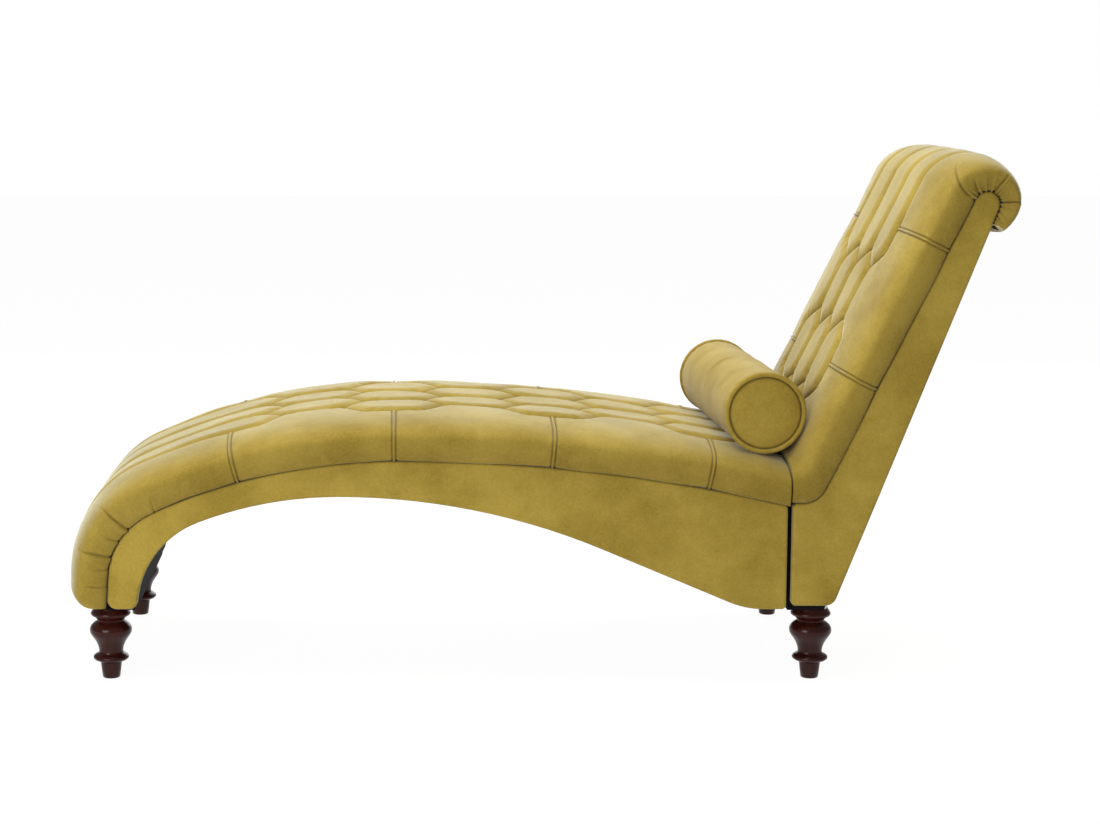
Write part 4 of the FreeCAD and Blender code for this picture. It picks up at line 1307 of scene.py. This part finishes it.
    def piping(self, half, side):
        """A cord sewn round one end, a little uneven."""
        cord = sizes().piping / 2
        middle = Vector((self.SEAM_RADIUS + self.PIPING_OUT, side * (half + self.PIPING_PAST), 0))
        bm = bmesh.new()
        loop = bmesh.ops.create_circle(
            bm, cap_ends=False, segments=self.PIPING_FACETS, radius=cord
        )["verts"]
        bmesh.ops.translate(bm, verts=loop, vec=middle)
        bmesh.ops.spin(
            bm,
            geom=loop + list({edge for vert in loop for edge in vert.link_edges}),
            cent=(0, 0, 0),
            axis=(0, 1, 0),
            angle=2 * math.pi,
            steps=self.PIPING_STEPS,
            use_merge=True,
        )
        for vert in bm.verts:
            angle = math.atan2(vert.co.z, vert.co.x)
            drawn = 0.35 * MM * math.sin(self.PUCKERS * angle + side)
            vert.co.y += side * (drawn + 0.25 * MM * math.sin(11 * angle))
        return bm


# Frame, covers and fastenings that stay as they are


class CHAISE_OT_frame_finishes(bpy.types.Operator):
    """Give the frame, covers and fastenings their finishes"""

    bl_idname = "chaise.frame_finishes"
    bl_label = "Frame finishes"

    # The words in a node's name that ask for a finish. The first that fits counts
    FINISHES = (
        # The side frames, joint rails and corner blocks take the black cloth as painted shade, so that the
        # gaps beside them read dark
        (("dust_cover", "side_frame", "joint_rail", "corner_block"), dust_cloth_and_gap_shade),
        (("deck",), plywood),
        (("bolt", "plate"), zinc_steel),
    )

    def execute(self, context):
        for name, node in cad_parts.items():
            fitting = [m for words, m in self.FINISHES if any(word in name for word in words)]
            maker = fitting[0] if fitting else planed_timber
            node.data.materials.clear()
            node.data.materials.append(finish_of(maker))
        return {"FINISHED"}


# Stage


# Name, place, the point that it lights, width in metres and power in watts
LAMPS = (
    ("overhead", (-0.3, 0.2, 2.9), (-0.1, 0.0, 0.3), 2.6, 84.0),
    ("front", (-1.95, -3.0, 1.15), (-0.2, 0.0, 0.35), 1.6, 54.0),
    ("behind", (0.4, 3.6, 1.6), (0.1, 0.0, 0.5), 3.0, 62.0),
)
ROOM_LIGHT = 0.33
FLOOR_SIZE = 14.0
FLOOR_DROP = 0.2 * MM
FLOOR_ROUGHNESS = 0.9
# How bright the floor shows to the camera, and the share of it that takes no shadow
FLOOR_GLOW = 1.06
FLOOR_EVEN = 0.9
# Lens and sensor in millimetres, shift in shares of the frame, tilt in degrees from straight down
CAMERA_LENS = 78.545
CAMERA_SENSOR = 36.0
CAMERA_SHIFT = (0.1409, -0.05)
CAMERA_PLACE = (JOINT_X - 0.6568, -4.2025, 1.0419)
CAMERA_TILT = 82.875


def seen_by(tree, *kinds):
    """1 for two kinds of ray that see the pale studio, 0 for the rays that light the chaise."""
    rays = tree.nodes.new("ShaderNodeLightPath")
    seen = tree.nodes.new("ShaderNodeMath")
    seen.operation = "MAXIMUM"
    for kind, socket in zip(kinds, seen.inputs):
        tree.links.new(rays.outputs[kind], socket)
    return seen.outputs[0]


def mix_shaders(tree, share, first, second, surface):
    """Leads a mix of two shaders to a surface socket."""
    mix = tree.nodes.new("ShaderNodeMixShader")
    tree.links.new(share, mix.inputs["Fac"])
    tree.links.new(first.outputs[0], mix.inputs[1])
    tree.links.new(second.outputs[0], mix.inputs[2])
    tree.links.new(mix.outputs[0], surface)


class CHAISE_OT_stage(bpy.types.Operator):
    """Set the floor, the studio's light, the lamps and the camera"""

    bl_idname = "chaise.stage"
    bl_label = "Stage"

    def execute(self, context):
        self.floor()
        self.surroundings()
        for lamp in LAMPS:
            self.lamp(*lamp)
        self.camera()
        bpy.context.scene.view_settings.view_transform = "Standard"
        return {"FINISHED"}

    def floor(self):
        bm = bmesh.new()
        bmesh.ops.create_grid(bm, x_segments=1, y_segments=1, size=FLOOR_SIZE)
        mesh = bpy.data.meshes.new("studio_floor")
        bm.to_mesh(mesh)
        bm.free()
        plane = bpy.data.objects.new("studio_floor", mesh)
        plane.location.z = -FLOOR_DROP
        bpy.context.scene.collection.objects.link(plane)
        mesh.materials.append(self.floor_finish())

    def floor_finish(self):
        """Pale and matt, and nearly white to the camera and in reflections, under soft shadows."""
        material = bpy.data.materials.new("studio_floor")
        material.use_nodes = True
        tree = material.node_tree
        main = tree.nodes["Principled BSDF"]
        main.inputs["Base Color"].default_value = (*colours().floor, 1.0)
        main.inputs["Roughness"].default_value = FLOOR_ROUGHNESS
        glow = tree.nodes.new("ShaderNodeEmission")
        glow.inputs["Strength"].default_value = FLOOR_GLOW
        share = tree.nodes.new("ShaderNodeMath")
        share.operation = "MULTIPLY"
        share.inputs[1].default_value = FLOOR_EVEN
        tree.links.new(seen_by(tree, "Is Camera Ray", "Is Glossy Ray"), share.inputs[0])
        surface = tree.nodes["Material Output"].inputs["Surface"]
        mix_shaders(tree, share.outputs[0], main, glow, surface)
        return material

    def surroundings(self):
        """White to the camera and through clear things, and a plain soft light on the chaise."""
        world = bpy.data.worlds.new("studio")
        bpy.context.scene.world = world
        world.use_nodes = True
        tree = world.node_tree
        tree.nodes.clear()
        light = tree.nodes.new("ShaderNodeBackground")
        white = tree.nodes.new("ShaderNodeBackground")
        for background, strength in ((light, ROOM_LIGHT), (white, 1.0)):
            background.inputs["Color"].default_value = (1, 1, 1, 1)
            background.inputs["Strength"].default_value = strength
        out = tree.nodes.new("ShaderNodeOutputWorld")
        seen = seen_by(tree, "Is Camera Ray", "Is Transmission Ray")
        mix_shaders(tree, seen, light, white, out.inputs["Surface"])

    def lamp(self, name, place, target, width, power):
        data = bpy.data.lights.new(name, "AREA")
        data.shape = "SQUARE"
        data.size = width
        data.energy = power
        lamp = bpy.data.objects.new(name, data)
        lamp.location = place
        aim = Vector(target) - Vector(place)
        lamp.rotation_euler = aim.to_track_quat("-Z", "Y").to_euler()
        bpy.context.scene.collection.objects.link(lamp)

    def camera(self):
        data = bpy.data.cameras.new("camera")
        data.lens = CAMERA_LENS
        data.sensor_width = CAMERA_SENSOR
        data.shift_x, data.shift_y = CAMERA_SHIFT
        camera = bpy.data.objects.new("camera", data)
        camera.location = CAMERA_PLACE
        camera.rotation_euler = (math.radians(CAMERA_TILT), 0, 0)
        bpy.context.scene.collection.objects.link(camera)
        bpy.context.scene.camera = camera


class CHAISE_PT_panel(bpy.types.Panel):
    """Lists the pieces in the order that they are made"""

    bl_label = "Chaise longue"
    bl_idname = "CHAISE_PT_panel"
    bl_space_type = "VIEW_3D"
    bl_region_type = "UI"
    bl_category = "Chaise"

    def draw(self, context):
        for group in (context.scene.chaise_sizes, context.scene.chaise_colours):
            box = self.layout.box()
            for name in group.__annotations__:
                box.prop(group, name)
        for piece in PIECES:
            self.layout.operator(piece.bl_idname)


PIECES = (
    CHAISE_OT_stage,
    CHAISE_OT_frame_finishes,
    CHAISE_OT_seat_pad,
    CHAISE_OT_back_pad,
    CHAISE_OT_side_panels,
    CHAISE_OT_outside_back,
    CHAISE_OT_legs,
    CHAISE_OT_bolster,
)
CLASSES = (ChaiseSizes, ChaiseColours, *PIECES, CHAISE_PT_panel)


def register():
    for item in CLASSES:
        bpy.utils.register_class(item)
    bpy.types.Scene.chaise_sizes = PointerProperty(type=ChaiseSizes)
    bpy.types.Scene.chaise_colours = PointerProperty(type=ChaiseColours)


def unregister():
    del bpy.types.Scene.chaise_colours
    del bpy.types.Scene.chaise_sizes
    for item in reversed(CLASSES):
        bpy.utils.unregister_class(item)


def main():
    register()
    bpy.ops.chaise.stage()
    bpy.ops.chaise.frame_finishes()
    bpy.ops.chaise.seat_pad()
    bpy.ops.chaise.back_pad()
    bpy.ops.chaise.side_panels()
    bpy.ops.chaise.outside_back()
    bpy.ops.chaise.legs()
    bpy.ops.chaise.bolster()
    bpy.context.view_layer.update()


if __name__ == "__main__":
    main()
